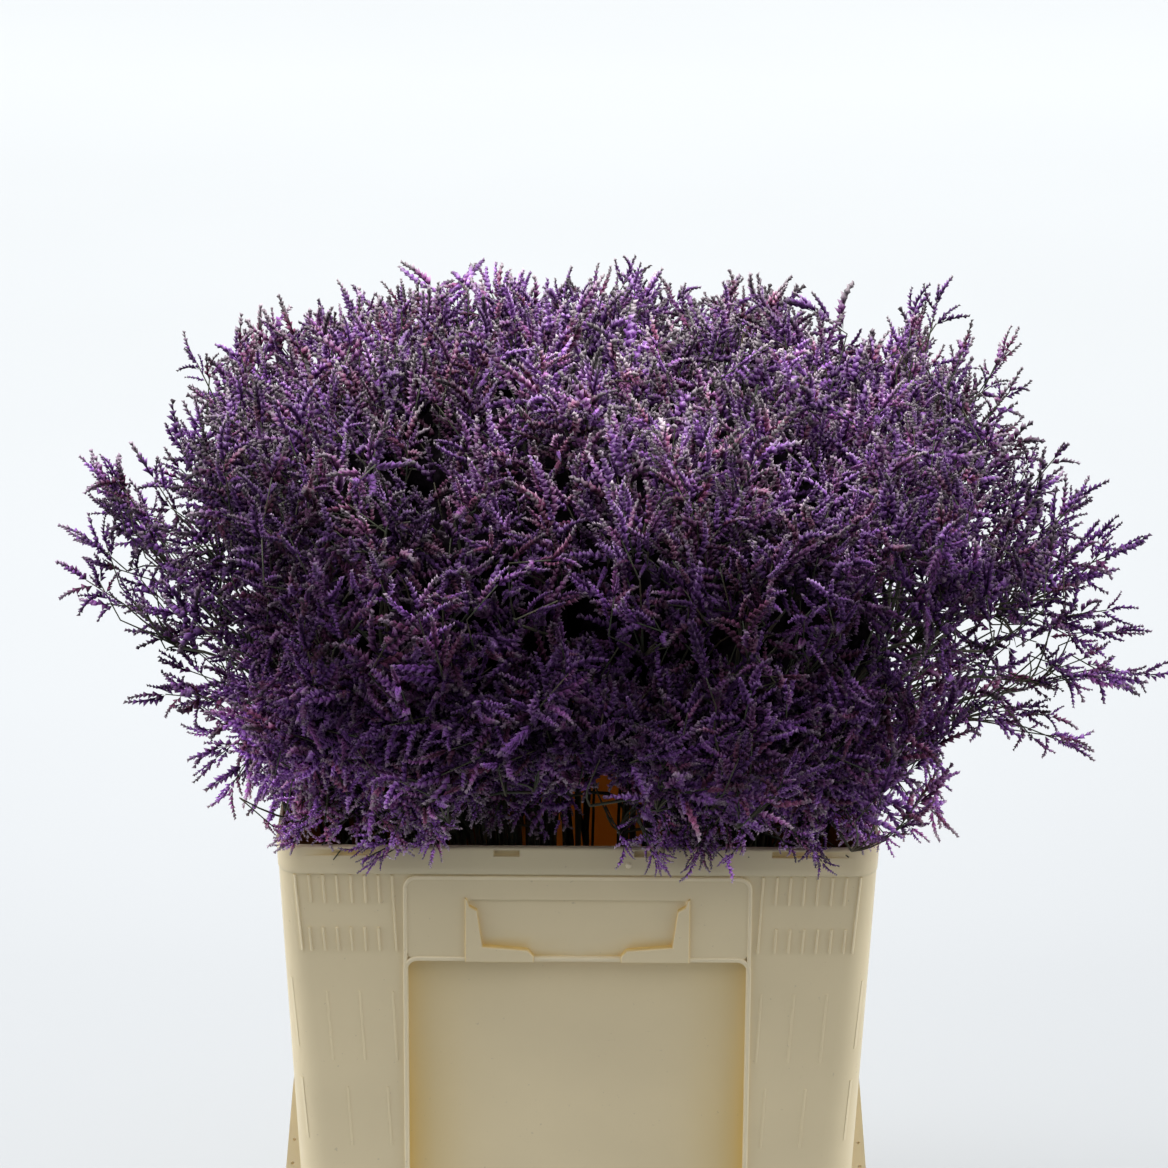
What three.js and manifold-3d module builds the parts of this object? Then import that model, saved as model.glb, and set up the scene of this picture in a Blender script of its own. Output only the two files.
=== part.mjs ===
// Dried statice (sea lavender) standing in a deep rectangular flower bucket.
// Millimetres, +Z up, origin at the middle of the bucket's underside, front towards -Y.
import * as THREE from "three";
import { mergeVertices } from "three/addons/utils/BufferGeometryUtils.js";
import Module from "manifold-3d";

const wasm = await Module();
wasm.setup();

// Bucket, driving dimensions
const RIM_HEIGHT = 430;
const RIM_WIDTH = 400;
const RIM_DEPTH = 300;
const RIM_BAND = 20;
const BAND_PROUD = 3;
const DRAFT = 0.0524;
const WALL = 3;
const CORNER = { top: 12, foot: 28 };
const FOOT_HEIGHT = 14;

// Flower mass: a rounded box that the spike tips fill, with its lower half shifted to the right
const MASS = {
  x: 8,
  z: RIM_HEIGHT + 160,
  across: 322,
  deep: 248,
  up: 193,
  down: 200,
  shift: 0.28,
  squareness: 2.4,
  bump: 0.06,
};
// Every stem leans as if it came from this height on the bucket's axis
const FAN_HEIGHT = 200;
const HEAD_START = RIM_HEIGHT + 26;

// Where the stems cross the rim's level, ring by ring; the outer ring leaves its front place free
const RINGS = [
  { places: 1, first: 0, across: 0, deep: 0, turn: 0 },
  { places: 5, first: 0, across: 62, deep: 44, turn: 56 },
  { places: 10, first: 0, across: 118, deep: 84, turn: 16 },
  { places: 14, first: 1, across: 166, deep: 120, turn: -2 },
];
const STEM_RADIUS = 2.4;
const STEM_GAP = 0.5;
// How far out a stem stands on the floor and halfway up, as shares of its place at the rim
const STEM_FOOT = 0.72;
const STEM_WAIST = 0.85;
const STEM_NECK = 40;
const CELL_GAP = 0.5;
const RIM_MARGIN = 6;
// An open place at the front of the rim, where one looks in between the stems
const FRONT_GAP = { left: -62, right: 46, back: -70, top: 500 };

const CORE_SIDES = 6;
const CORE_LEVEL = 0.58;
const CORE_RINGS = [
  { along: 0, fill: 0 },
  { along: 0.34, fill: 0.55 },
  { along: 0.7, fill: 0.62 },
  { along: 0.92, fill: 0.42 },
];
const CORE_WIDEST = 92;
const HEAD_SEED = 11;

const SPIKE = {
  radius: 6.5,
  belly: 0.32,
  apart: 10,
  patch: 540,
  sunk: 9,
  longest: 112,
  shortest: 26,
  lean: 0.35,
};
const DROOP_BELOW = 530;
const ROOT_TRIES = 320;
const BURIED = 0.3;
const SPRIG = { radius: 2, spikes: 4, spikeRadius: 3.2, spikeLength: 36, sunk: 14 };

// Tips of the loose sprigs that stand out of the mass, seen from the front
const SPRIG_TIPS = [
  [-352, -10, 566],
  [-338, 10, 632],
  [-300, -20, 470],
  [-266, 20, 728],
  [-262, -60, 442],
  [-160, 30, 774],
  [-62, 20, 792],
  [42, 10, 797],
  [96, 30, 786],
  [150, -20, 768],
  [238, 20, 762],
  [296, 30, 728],
  [348, -20, 645],
  [384, 10, 580],
  [404, -10, 495],
  [352, -40, 466],
  [236, -90, 428],
  [-121, -192, 412],
  [66, -190, 408],
];

// Numbers from 0 to 1 that are the same in every build
function seededRandom(seed) {
  let state = seed >>> 0;
  return () => {
    state = (Math.imul(state, 1664525) + 1013904223) >>> 0;
    return state / 4294967296;
  };
}

// Closed three.js geometry to a solid, and back
function solid(geometry, matrix) {
  const bare = new THREE.BufferGeometry();
  bare.setAttribute("position", geometry.getAttribute("position").clone());
  bare.setIndex(geometry.index);
  if (matrix) bare.applyMatrix4(matrix);
  const merged = mergeVertices(bare, 1e-3);
  const mesh = new wasm.Mesh({
    numProp: 3,
    vertProperties: new Float32Array(merged.attributes.position.array),
    triVerts: new Uint32Array(merged.index.array),
  });
  return new wasm.Manifold(mesh);
}

function geometryOf(manifold) {
  const mesh = manifold.getMesh();
  const geometry = new THREE.BufferGeometry();
  geometry.setAttribute("position", new THREE.BufferAttribute(mesh.vertProperties, 3));
  geometry.setIndex(new THREE.BufferAttribute(mesh.triVerts, 1));
  geometry.computeVertexNormals();
  return geometry;
}

const joined = (solids) => solids.reduce((a, b) => a.add(b));

// The body itself, without any scrap that a cut or a join left loose
function largestBody(manifold) {
  return manifold.decompose().reduce((a, b) => (a.volume() > b.volume() ? a : b));
}

function roundedRect(width, depth, radius) {
  const x = width / 2;
  const y = depth / 2;
  const shape = new THREE.Shape();
  shape.moveTo(x, -y + radius);
  shape.absarc(x - radius, y - radius, radius, 0, Math.PI / 2);
  shape.absarc(-x + radius, y - radius, radius, Math.PI / 2, Math.PI);
  shape.absarc(-x + radius, -y + radius, radius, Math.PI, 1.5 * Math.PI);
  shape.absarc(x - radius, -y + radius, radius, 1.5 * Math.PI, 2 * Math.PI);
  return shape;
}

// Half sizes of the bucket's outer wall, grown by a margin, at a height
function wallAt(z, margin) {
  const below = RIM_HEIGHT - z;
  const corner = CORNER.top + ((CORNER.foot - CORNER.top) * below) / RIM_HEIGHT;
  return {
    x: RIM_WIDTH / 2 - BAND_PROUD - DRAFT * below + margin,
    y: RIM_DEPTH / 2 - BAND_PROUD - DRAFT * below + margin,
    corner: Math.max(corner + margin, 4),
  };
}

// A block between two heights that follows the bucket's wall at a margin, outside or inside it
function wallBlock(z0, z1, margin) {
  const low = wallAt(z0, margin);
  const high = wallAt(z1, margin);
  const outline = roundedRect(2 * high.x, 2 * high.y, high.corner);
  const options = { depth: z1 - z0, bevelEnabled: false, curveSegments: 4 };
  const block = new THREE.ExtrudeGeometry(outline, options);
  const p = block.getAttribute("position");
  const moved = (value, highHalf, lowHalf) => {
    const round = (Math.abs(value) - highHalf + high.corner) / high.corner;
    return Math.sign(value) * (lowHalf - low.corner + low.corner * round);
  };
  for (let i = 0; i < p.count; i++) {
    if (p.getZ(i) > 0) continue;
    p.setXY(i, moved(p.getX(i), high.x, low.x), moved(p.getY(i), high.y, low.y));
  }
  return solid(block, new THREE.Matrix4().makeTranslation(0, 0, z0));
}

// The front wall's own frame: x across, y up the sloping face, z out of it, from the rim's edge
const FRONT = new THREE.Matrix4().multiplyMatrices(
  new THREE.Matrix4().makeTranslation(0, -RIM_DEPTH / 2 + BAND_PROUD, RIM_HEIGHT),
  new THREE.Matrix4().makeRotationX(Math.PI / 2 + Math.atan(DRAFT)),
);

// A shape on the front wall, extruded between two heights above it and moved down the wall
function onFront(shape, low, high, down = 0) {
  const options = { depth: high - low, bevelEnabled: false, curveSegments: 2 };
  const plate = new THREE.ExtrudeGeometry(shape, options);
  plate.translate(0, -down, low);
  return solid(plate, FRONT);
}

// A rounded rectangle between two places measured down the front wall from the rim
function frontPanel(width, top, bottom, radius, low, high) {
  const shape = roundedRect(width, bottom - top, radius);
  return onFront(shape, low, high, (top + bottom) / 2);
}

const RIB = { width: 1.6, proud: 0.9, sunk: 1, lean: 1.6 * DRAFT };

// A thin upright rib that leans in with the bucket's corners
function frontRib(x, top, bottom) {
  const inward = (-RIB.lean * x * (bottom - top)) / (RIM_WIDTH / 2);
  const half = RIB.width / 2;
  const shape = new THREE.Shape([
    new THREE.Vector2(x - half, -top),
    new THREE.Vector2(x - half + inward, -bottom),
    new THREE.Vector2(x + half + inward, -bottom),
    new THREE.Vector2(x + half, -top),
  ]);
  return onFront(shape, -RIB.sunk, RIB.proud);
}

const PANEL = { width: 229, top: 21, shelf: 82, bottom: 322, corner: 8 };
const BEAD = { width: 3, proud: 2.4 };
const FIELD_PROUD = BEAD.proud - 1;
const RECESS_DEPTH = 8;
const POCKET = { width: 146, top: 37, bottom: 80, corner: 2, depth: 2 };
const POCKET_FLOOR = FIELD_PROUD - POCKET.depth;
const CLEAR = BEAD.proud + 2;

// The frame bead round the panel, the sunk panel below its shelf and the card pocket above it
function dressFront(body) {
  const { width, top, shelf, bottom, corner } = PANEL;
  const clearWidth = width - 2 * BEAD.width;
  const fieldTop = top + BEAD.width;
  const fieldBottom = shelf - BEAD.width;
  const pan = frontPanel(width, fieldBottom, bottom, corner, -RECESS_DEPTH - WALL, 0);
  const bead = frontPanel(width, top, bottom, corner, -RIB.sunk, BEAD.proud);
  const field = frontPanel(clearWidth, fieldTop, fieldBottom, corner - 2, FIELD_PROUD, CLEAR);
  const sunk = frontPanel(
    clearWidth, shelf, bottom - BEAD.width, corner - 2, -RECESS_DEPTH, CLEAR,
  );
  const pocket = frontPanel(
    POCKET.width, POCKET.top, POCKET.bottom, POCKET.corner, POCKET_FLOOR, CLEAR,
  );
  return joined([body, pan, bead]).subtract(joined([field, sunk, pocket]));
}

// Half of a stepped bracket, as places across and down from the rim
const BRACKET = [
  [76, 36], [73.4, 37], [72, 42], [66.6, 45], [62.7, 70],
  [33, 72.4], [29, 77], [29, 82], [76, 82],
];
const BRACKET_PROUD = BEAD.proud + 1.4;

// One of the two stepped brackets that hold a card in the pocket; side is -1 or 1
function cardBracket(side) {
  const points = BRACKET.map(([x, down]) => new THREE.Vector2(side * x, -down));
  return onFront(new THREE.Shape(points), POCKET_FLOOR - 0.4, BRACKET_PROUD);
}

const LABEL_FIELD = { ribs: 8, first: 125, pitch: 9, top: 19, upperEnd: 40, lowerStart: 54, end: 76 };

// Ribbed fields for labels on both sides of the panel: whole ribs at the ends, split ones between
function labelRibs() {
  const { ribs, first, pitch, top, upperEnd, lowerStart, end } = LABEL_FIELD;
  const made = [];
  for (const side of [-1, 1]) {
    for (let i = 0; i < ribs; i++) {
      const x = side * (first + pitch * i);
      const atEnd = i === 0 || i === ribs - 1;
      if (atEnd) made.push(frontRib(x, top, end));
      else made.push(frontRib(x, top, upperEnd), frontRib(x, lowerStart, end));
    }
  }
  return made;
}

const NOTCH = { places: [-141, -47, 46, 137], width: 17, depth: 4, height: 4, below: 4 };

// Shallow slots along the outside of the rim's front
function rimNotches() {
  const slot = new THREE.BoxGeometry(NOTCH.width, NOTCH.depth, NOTCH.height);
  return NOTCH.places.map((x) => {
    const place = [x, -RIM_DEPTH / 2, RIM_HEIGHT - NOTCH.below];
    return solid(slot, new THREE.Matrix4().makeTranslation(...place));
  });
}

const FIN = {
  y: 92,
  thick: 5,
  outline: [[166, 0], [197, 0], [197, 110], [187, 262], [180, 262]],
  holes: [[190.5, 224], [191, 207]],
  holeRadius: 1.3,
};

// An upright fin on a side wall, with two small holes through it
function sideFin(side, y) {
  const shape = new THREE.Shape(FIN.outline.map(([x, z]) => new THREE.Vector2(side * x, z)));
  const options = { depth: FIN.thick, bevelEnabled: false };
  const upright = new THREE.Matrix4().makeRotationX(Math.PI / 2);
  const place = new THREE.Matrix4().makeTranslation(0, y + FIN.thick / 2, 0).multiply(upright);
  const pin = new THREE.CylinderGeometry(FIN.holeRadius, FIN.holeRadius, 3 * FIN.thick, 6);
  const holes = FIN.holes.map(([x, z]) => {
    return solid(pin, new THREE.Matrix4().makeTranslation(side * x, y, z));
  });
  return solid(new THREE.ExtrudeGeometry(shape, options), place).subtract(joined(holes));
}

function bucket() {
  const outer = wallBlock(0, RIM_HEIGHT, 0);
  const band = wallBlock(RIM_HEIGHT - RIM_BAND, RIM_HEIGHT, BAND_PROUD);
  const foot = wallBlock(0, FOOT_HEIGHT, BAND_PROUD);
  const inside = wallBlock(WALL, RIM_HEIGHT + 1, -WALL);
  const fins = [];
  for (const side of [-1, 1]) fins.push(sideFin(side, -FIN.y), sideFin(side, FIN.y));
  const shell = joined([outer, band, foot, ...fins]).subtract(inside);
  const dressed = joined([dressFront(shell), cardBracket(-1), cardBracket(1), ...labelRibs()]);
  return dressed.subtract(joined(rimNotches()));
}

// How far out of the mass a point is: under 1 inside, 1 on its uneven surface
function massLevel(p) {
  const half = p.z > MASS.z ? MASS.up : MASS.down;
  const middle = MASS.x + MASS.shift * Math.max(0, MASS.z - p.z);
  const n = MASS.squareness;
  const bumps = Math.sin(p.x / 41 + 0.8) * Math.sin(p.y / 37 + 2.1) + Math.sin(p.z / 33 + p.x / 70);
  return (
    ((Math.abs(p.x - middle) / MASS.across) ** n +
      (Math.abs(p.y) / MASS.deep) ** n +
      (Math.abs(p.z - MASS.z) / half) ** n) *
    (1 + MASS.bump * bumps)
  );
}

const FAN = new THREE.Vector3(0, 0, FAN_HEIGHT);
const along = (direction, distance) => FAN.clone().addScaledVector(direction, distance);

// The mass's level for a core, which goes straight down below the mass's widest height
const coreLevel = (p) => massLevel(p.clone().setZ(Math.max(p.z, MASS.z)));

// Distance from the fan point to a core's crown
function coreReach(direction) {
  let distance = 900;
  while (coreLevel(along(direction, distance)) > CORE_LEVEL) distance -= 2;
  return distance;
}

// One entry for each stem: where it crosses the level of the rim, and its direction
function stemPlan() {
  const plan = [];
  for (const ring of RINGS) {
    for (let i = ring.first; i < ring.places; i++) {
      const angle = THREE.MathUtils.degToRad(-90 + ring.turn + (360 * i) / ring.places);
      const x = ring.across * Math.cos(angle);
      const y = ring.deep * Math.sin(angle);
      const direction = new THREE.Vector3(x, y, RIM_HEIGHT - FAN_HEIGHT).normalize();
      plan.push({ x, y, direction });
    }
  }
  return plan;
}

const STEMS = stemPlan();

// Each head keeps to its own cell, a cone of directions nearer to it than to any other head
function inCell(p, own, gap = CELL_GAP) {
  const v = p.clone().sub(FAN);
  return STEMS.every((other) => {
    if (other === own) return true;
    const normal = own.direction.clone().sub(other.direction);
    return v.dot(normal) >= gap * normal.length();
  });
}

// Clear of the bucket, whose rim the outer heads hang over, and of the open place at the front
function clearOfRim(p) {
  const inGap = p.x > FRONT_GAP.left && p.x < FRONT_GAP.right && p.y < FRONT_GAP.back;
  if (inGap && p.z < FRONT_GAP.top) return false;
  if (p.z > RIM_HEIGHT + RIM_MARGIN) return true;
  const outX = Math.abs(p.x) > RIM_WIDTH / 2 + RIM_MARGIN;
  const outY = Math.abs(p.y) > RIM_DEPTH / 2 + RIM_MARGIN;
  return (outX || outY) && p.z > RIM_HEIGHT - 26;
}

// Clear of the head's own bare stem, below the core
function clearOfStem(p, own) {
  const off = p.clone().sub(FAN).cross(own.direction).length();
  return p.z > HEAD_START + 4 * STEM_RADIUS || off > 4 * STEM_RADIUS;
}

// True when a straight piece from one point to another has room all along
function hasRoom(from, to, own, radius) {
  const steps = Math.ceil(from.distanceTo(to) / 6);
  for (let i = 0; i <= steps; i++) {
    const p = from.clone().lerp(to, i / steps);
    if (!clearOfRim(p) || !clearOfStem(p, own)) return false;
  }
  return inCell(from, own, radius) && inCell(to, own, CELL_GAP);
}

// Two unit vectors square to a direction
function squareTo(direction) {
  const other = new THREE.Vector3(0, 0, 1);
  if (Math.abs(direction.z) > 0.95) other.set(1, 0, 0);
  const u = other.cross(direction).normalize();
  return [u, direction.clone().cross(u)];
}

// A three-sided piece between two points, with the radius given at shares of its length
function needle(from, to, profile) {
  const length = from.distanceTo(to);
  const points = profile.map(([share, radius]) => new THREE.Vector2(radius, share * length));
  const turn = new THREE.Quaternion().setFromUnitVectors(
    new THREE.Vector3(0, 1, 0),
    to.clone().sub(from).normalize(),
  );
  const matrix = new THREE.Matrix4().compose(from, turn, new THREE.Vector3(1, 1, 1));
  return solid(new THREE.LatheGeometry(points, 3), matrix);
}

// The core's own reach sideways from its middle line
function coreRadius(stem, centre, out) {
  let inside = 0;
  let outside = 2 * CORE_WIDEST;
  for (let i = 0; i < 12; i++) {
    const r = (inside + outside) / 2;
    const p = centre.clone().addScaledVector(out, r);
    const fits = inCell(p, stem, 1) && coreLevel(p) < CORE_LEVEL && p.z > HEAD_START - 6;
    if (fits && clearOfRim(p)) inside = r;
    else outside = r;
  }
  return inside;
}

// A small closed core for one head, which its spikes stand out of
function coreGeometry(stem) {
  const [u, v] = squareTo(stem.direction);
  const start = (HEAD_START - FAN_HEIGHT) / stem.direction.z;
  const end = coreReach(stem.direction);
  const points = [along(stem.direction, start)];
  CORE_RINGS.forEach((ring, row) => {
    const centre = along(stem.direction, start + ring.along * (end - start));
    for (let k = 0; k < CORE_SIDES; k++) {
      const angle = (2 * Math.PI * (k + 0.5 * (row % 2))) / CORE_SIDES;
      const out = u.clone().multiplyScalar(Math.cos(angle)).addScaledVector(v, Math.sin(angle));
      const radius = Math.max(1.4 * STEM_RADIUS, ring.fill * coreRadius(stem, centre, out));
      points.push(centre.clone().addScaledVector(out, Math.min(radius, CORE_WIDEST)));
    }
  });
  points.push(along(stem.direction, end));
  const index = [];
  const last = CORE_RINGS.length - 1;
  const id = (row, k) => 1 + row * CORE_SIDES + (k % CORE_SIDES);
  for (let k = 0; k < CORE_SIDES; k++) {
    index.push(0, id(0, k + 1), id(0, k));
    for (let row = 0; row < last; row++) {
      const lead = row % 2;
      index.push(id(row, k), id(row, k + 1), id(row + 1, k + lead));
      index.push(id(row, k + 1 - lead), id(row + 1, k + 1), id(row + 1, k));
    }
    index.push(id(last, k), id(last, k + 1), points.length - 1);
  }
  const geometry = new THREE.BufferGeometry().setFromPoints(points);
  geometry.setIndex(index);
  return geometry;
}

// The faces of a core with their running total of area
function facesOf(core) {
  const p = core.getAttribute("position");
  const corner = (i) => new THREE.Vector3().fromBufferAttribute(p, core.index.getX(i));
  let area = 0;
  const faces = [];
  for (let i = 0; i < core.index.count; i += 3) {
    const triangle = new THREE.Triangle(corner(i), corner(i + 1), corner(i + 2));
    area += triangle.getArea();
    faces.push({ triangle, upTo: area });
  }
  return faces;
}

// A random place on the core with its face's normal
function placeOn(faces, random) {
  const pick = faces.at(-1).upTo * random();
  const { triangle } = faces.find((face) => face.upTo >= pick);
  let s = random();
  let t = random();
  if (s + t > 1) [s, t] = [1 - s, 1 - t];
  const place = triangle.a
    .clone()
    .addScaledVector(triangle.b.clone().sub(triangle.a), s)
    .addScaledVector(triangle.c.clone().sub(triangle.a), t);
  return { place, normal: triangle.getNormal(new THREE.Vector3()), gap: Infinity };
}

// True for places that face out of the mass and aren't buried in it
function exposed({ place, normal }) {
  const level = coreLevel(place);
  const further = coreLevel(place.clone().addScaledVector(normal, 10));
  return further > level && level > BURIED * CORE_LEVEL;
}

// Exposed places, the widest apart first, and how many of them get a spike
function rootPlaces(core, random) {
  const faces = facesOf(core);
  const places = [];
  for (let i = 0; i < ROOT_TRIES; i++) {
    const root = placeOn(faces, random);
    if (exposed(root)) places.push(root);
  }
  const count = (faces.at(-1).upTo * places.length) / ROOT_TRIES / SPIKE.patch;
  const ordered = [];
  while (places.length) {
    places.sort((a, b) => b.gap - a.gap);
    const next = places.shift();
    ordered.push(next);
    for (const c of places) c.gap = Math.min(c.gap, c.place.distanceTo(next.place));
  }
  return { ordered, count };
}

// A spike's line from a place on the core up and outwards, as long as there is room, or null
function spikeLine({ place, normal }, stem, random) {
  const upward = place.z > DROOP_BELOW ? 0.8 : 0.3;
  const farthest = 0.96 + 0.1 * random();
  for (const outward of [0.75, 0.3, 0]) {
    const stray = new THREE.Vector3(random() - 0.5, random() - 0.5, random() - 0.5);
    const direction = stem.direction
      .clone()
      .multiplyScalar(upward)
      .addScaledVector(normal, outward)
      .addScaledVector(stray, SPIKE.lean)
      .normalize();
    const root = place.clone().addScaledVector(direction, -SPIKE.sunk);
    for (let length = SPIKE.longest; length > SPIKE.shortest; length *= 0.85) {
      const tip = place.clone().addScaledVector(direction, length);
      if (massLevel(tip) > farthest || !hasRoom(place, tip, stem, 1.5 * SPIKE.radius)) continue;
      return new THREE.Line3(root, tip);
    }
  }
  return null;
}

// True when two spikes' bellies keep apart
function keepsApart(line, other) {
  const near = (a, b) => {
    const belly = a.at(1.4 * SPIKE.belly, new THREE.Vector3());
    return b.closestPointToPoint(belly, true, new THREE.Vector3()).distanceTo(belly);
  };
  return Math.min(near(line, other), near(other, line)) > SPIKE.apart;
}

const caster = new THREE.Raycaster();

// A loose sprig: a thin twig from the core with small spikes along its outer half, or null
function sprig(stem, core, tip) {
  const heart = along(stem.direction, 0.85 * coreReach(stem.direction));
  const outward = tip.clone().sub(heart).normalize();
  caster.set(tip, outward.clone().negate());
  const coreMesh = new THREE.Mesh(core, new THREE.MeshBasicMaterial({ side: THREE.DoubleSide }));
  const hit = caster.intersectObject(coreMesh)[0];
  if (!hit) return null;
  const root = hit.point.clone().addScaledVector(outward, -SPRIG.sunk);
  const length = root.distanceTo(tip);
  const pieces = [needle(root, tip, [[0, 0], [0, SPRIG.radius], [0.85, SPRIG.radius], [1, 0]])];
  const [u, v] = squareTo(outward);
  for (let k = 0; k < SPRIG.spikes; k++) {
    const angle = 2.4 * k;
    const lean = outward
      .clone()
      .addScaledVector(u, 0.7 * Math.cos(angle))
      .addScaledVector(v, 0.7 * Math.sin(angle))
      .normalize();
    const base = root.clone().lerp(tip, 1 - Math.min(0.6, (28 + 13 * k) / length));
    const end = base.clone().addScaledVector(lean, SPRIG.spikeLength);
    if (!hasRoom(base, end, stem, 1)) continue;
    pieces.push(needle(base, end, [[0, 0], [0.45, SPRIG.spikeRadius], [1, 0]]));
  }
  return hasRoom(hit.point, tip, stem, SPRIG.radius) ? joined(pieces) : null;
}

function head(stem, number) {
  const random = seededRandom(HEAD_SEED + 97 * number);
  const core = coreGeometry(stem);
  let whole = solid(core);
  const lines = [];
  const { ordered, count } = rootPlaces(core, random);
  for (const root of ordered) {
    if (lines.length >= count) break;
    const line = spikeLine(root, stem, random);
    if (line && lines.every((other) => keepsApart(line, other))) lines.push(line);
  }
  for (const line of lines) {
    const profile = [[0, 0], [SPIKE.belly, SPIKE.radius], [1, 0]];
    whole = whole.add(needle(line.start, line.end, profile));
  }
  for (const place of SPRIG_TIPS) {
    const tip = new THREE.Vector3(...place);
    if (!inCell(tip, stem, 4)) continue;
    const twig = sprig(stem, core, tip);
    if (twig) whole = whole.add(twig);
  }
  return largestBody(whole);
}

// A bare stem from the bucket's floor up to the underside of its head
function stemGeometry({ x, y, direction }) {
  const floor = new THREE.Vector3(STEM_FOOT * x, STEM_FOOT * y, WALL + STEM_GAP);
  const waist = new THREE.Vector3(STEM_WAIST * x, STEM_WAIST * y, RIM_HEIGHT / 2);
  const start = (HEAD_START - FAN_HEIGHT) / direction.z;
  const neck = along(direction, start - STEM_NECK);
  const top = along(direction, start - STEM_GAP);
  const path = new THREE.CatmullRomCurve3([floor, waist, neck, top]);
  const corners = [[1, 0], [0, 1], [-1, 0], [0, -1]];
  const section = new THREE.Shape(
    corners.map(([x, y]) => new THREE.Vector2(x * STEM_RADIUS, y * STEM_RADIUS)),
  );
  return new THREE.ExtrudeGeometry(section, {
    steps: 3,
    extrudePath: path,
    bevelEnabled: false,
  });
}

const cream = new THREE.MeshStandardMaterial({ color: 0xcfc3a4, roughness: 0.45, metalness: 0 });
const violet = new THREE.MeshStandardMaterial({ color: 0x6b4a8f, roughness: 0.9, metalness: 0 });
const green = new THREE.MeshStandardMaterial({ color: 0x3f4a36, roughness: 0.85, metalness: 0 });

function named(name, geometry, material) {
  const mesh = new THREE.Mesh(geometry, material);
  mesh.name = name;
  return mesh;
}

const statice = new THREE.Group();
statice.add(named("bucket", geometryOf(bucket()), cream));
STEMS.forEach((stem, i) => {
  const number = String(i + 1).padStart(2, "0");
  statice.add(named(`head_${number}`, geometryOf(head(stem, i)), violet));
  statice.add(named(`stem_${number}`, stemGeometry(stem), green));
});

export default statice;
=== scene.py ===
import math
from functools import reduce
from types import SimpleNamespace

import bpy
import numpy as np
from mathutils import Matrix, Vector
from mathutils.geometry import tessellate_polygon

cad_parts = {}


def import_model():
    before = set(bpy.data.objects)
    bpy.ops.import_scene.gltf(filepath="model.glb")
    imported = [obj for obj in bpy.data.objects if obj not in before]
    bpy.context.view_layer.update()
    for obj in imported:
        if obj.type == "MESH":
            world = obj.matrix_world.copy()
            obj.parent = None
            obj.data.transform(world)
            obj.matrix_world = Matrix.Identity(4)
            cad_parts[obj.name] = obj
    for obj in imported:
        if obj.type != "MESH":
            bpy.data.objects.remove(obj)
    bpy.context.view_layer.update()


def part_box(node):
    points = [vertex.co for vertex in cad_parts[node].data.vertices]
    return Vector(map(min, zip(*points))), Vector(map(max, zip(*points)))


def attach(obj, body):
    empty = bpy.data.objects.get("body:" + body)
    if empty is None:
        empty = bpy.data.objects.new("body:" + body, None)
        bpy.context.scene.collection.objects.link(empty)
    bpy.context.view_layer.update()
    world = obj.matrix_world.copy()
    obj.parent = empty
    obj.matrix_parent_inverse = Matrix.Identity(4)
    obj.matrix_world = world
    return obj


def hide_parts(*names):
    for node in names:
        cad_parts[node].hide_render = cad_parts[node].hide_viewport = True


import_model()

# All lengths below are millimetres, and meshes are written in metres
MM = 0.001
SEED = 20

# Bucket, from the frame: its rim is its widest part
bucket_low, bucket_high = (np.array(corner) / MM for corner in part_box("bucket"))
RIM_WIDTH, RIM_DEPTH, RIM_HEIGHT = bucket_high - bucket_low
HALF_WIDTH, HALF_DEPTH = RIM_WIDTH / 2, RIM_DEPTH / 2
RIM_BAND = 20
BAND_PROUD, SIDE_PROUD = 3, 0.5
DRAFT, SIDE_DRAFT = 0.0524, 0.045
WALL = 3
CORNER_TOP, CORNER_FOOT = 14, 32
FOOT_HEIGHT = 14

# Flower mass: a rounded box that the tips fill, its lower half shifted to the right
MASS_MIDDLE, MASS_HEIGHT = 8, RIM_HEIGHT + 160
MASS_ACROSS, MASS_DEEP = 322, 248
MASS_UP, MASS_DOWN = 193, 200
MASS_SHIFT, MASS_SQUARENESS, MASS_BUMP = 0.28, 2.4, 0.06

# Every stem leans as if it came from this point on the bucket's axis
FAN = np.array([0.0, 0.0, 200.0])
HEAD_START = RIM_HEIGHT + 26
# Places in a ring, first place used, reach across and deep, and turn in degrees
RINGS = [(1, 0, 0, 0, 0), (5, 0, 62, 44, 56), (10, 0, 118, 84, 16), (14, 1, 166, 120, -2)]
STEM_FOOT, STEM_WAIST = 0.72, 0.85
# The opening at the front: its ends, the height of its upper edge at the rim, and how that sinks going back
GAP_LEFT, GAP_RIGHT, GAP_BACK, GAP_TOP, GAP_SINK = -58, 42, 30, 492, 0.3

# Tips of the loose sprigs that stand out of the mass
SPRIG_TIPS = [
    (-352, -10, 578), (-346, 5, 603), (-338, 10, 645), (-322, 0, 553), (-330, 20, 622),
    (-303, -20, 489), (-290, -10, 510), (-262, -60, 442), (-268, -30, 455), (-243, -80, 428),
    (-266, 20, 728), (-232, 10, 740), (-160, 30, 766), (-120, 20, 772), (-62, 20, 774),
    (-40, 0, 770), (42, 10, 782), (50, 10, 778), (96, 30, 766), (150, -20, 748),
    (224, 20, 768), (241, 20, 772), (262, 10, 742), (296, 30, 735), (300, 10, 712),
    (330, 0, 668), (347, -20, 645), (352, 20, 628), (368, 0, 604), (381, 10, 590),
    (374, -10, 551), (384, 0, 530), (362, 20, 566), (378, -20, 505),
    (350, -40, 455), (336, -30, 474), (322, 10, 486), (245, -100, 428), (228, -120, 436),
    (-334, 0, 650), (-326, -6, 657), (404, -12, 499),
]

rng = np.random.default_rng(SEED)


# Small helpers on arrays of points

def xyz(p):
    return p[..., 0], p[..., 1], p[..., 2]


def unit(v):
    return v / np.maximum(np.linalg.norm(v, axis=-1, keepdims=True), 1e-9)


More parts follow.
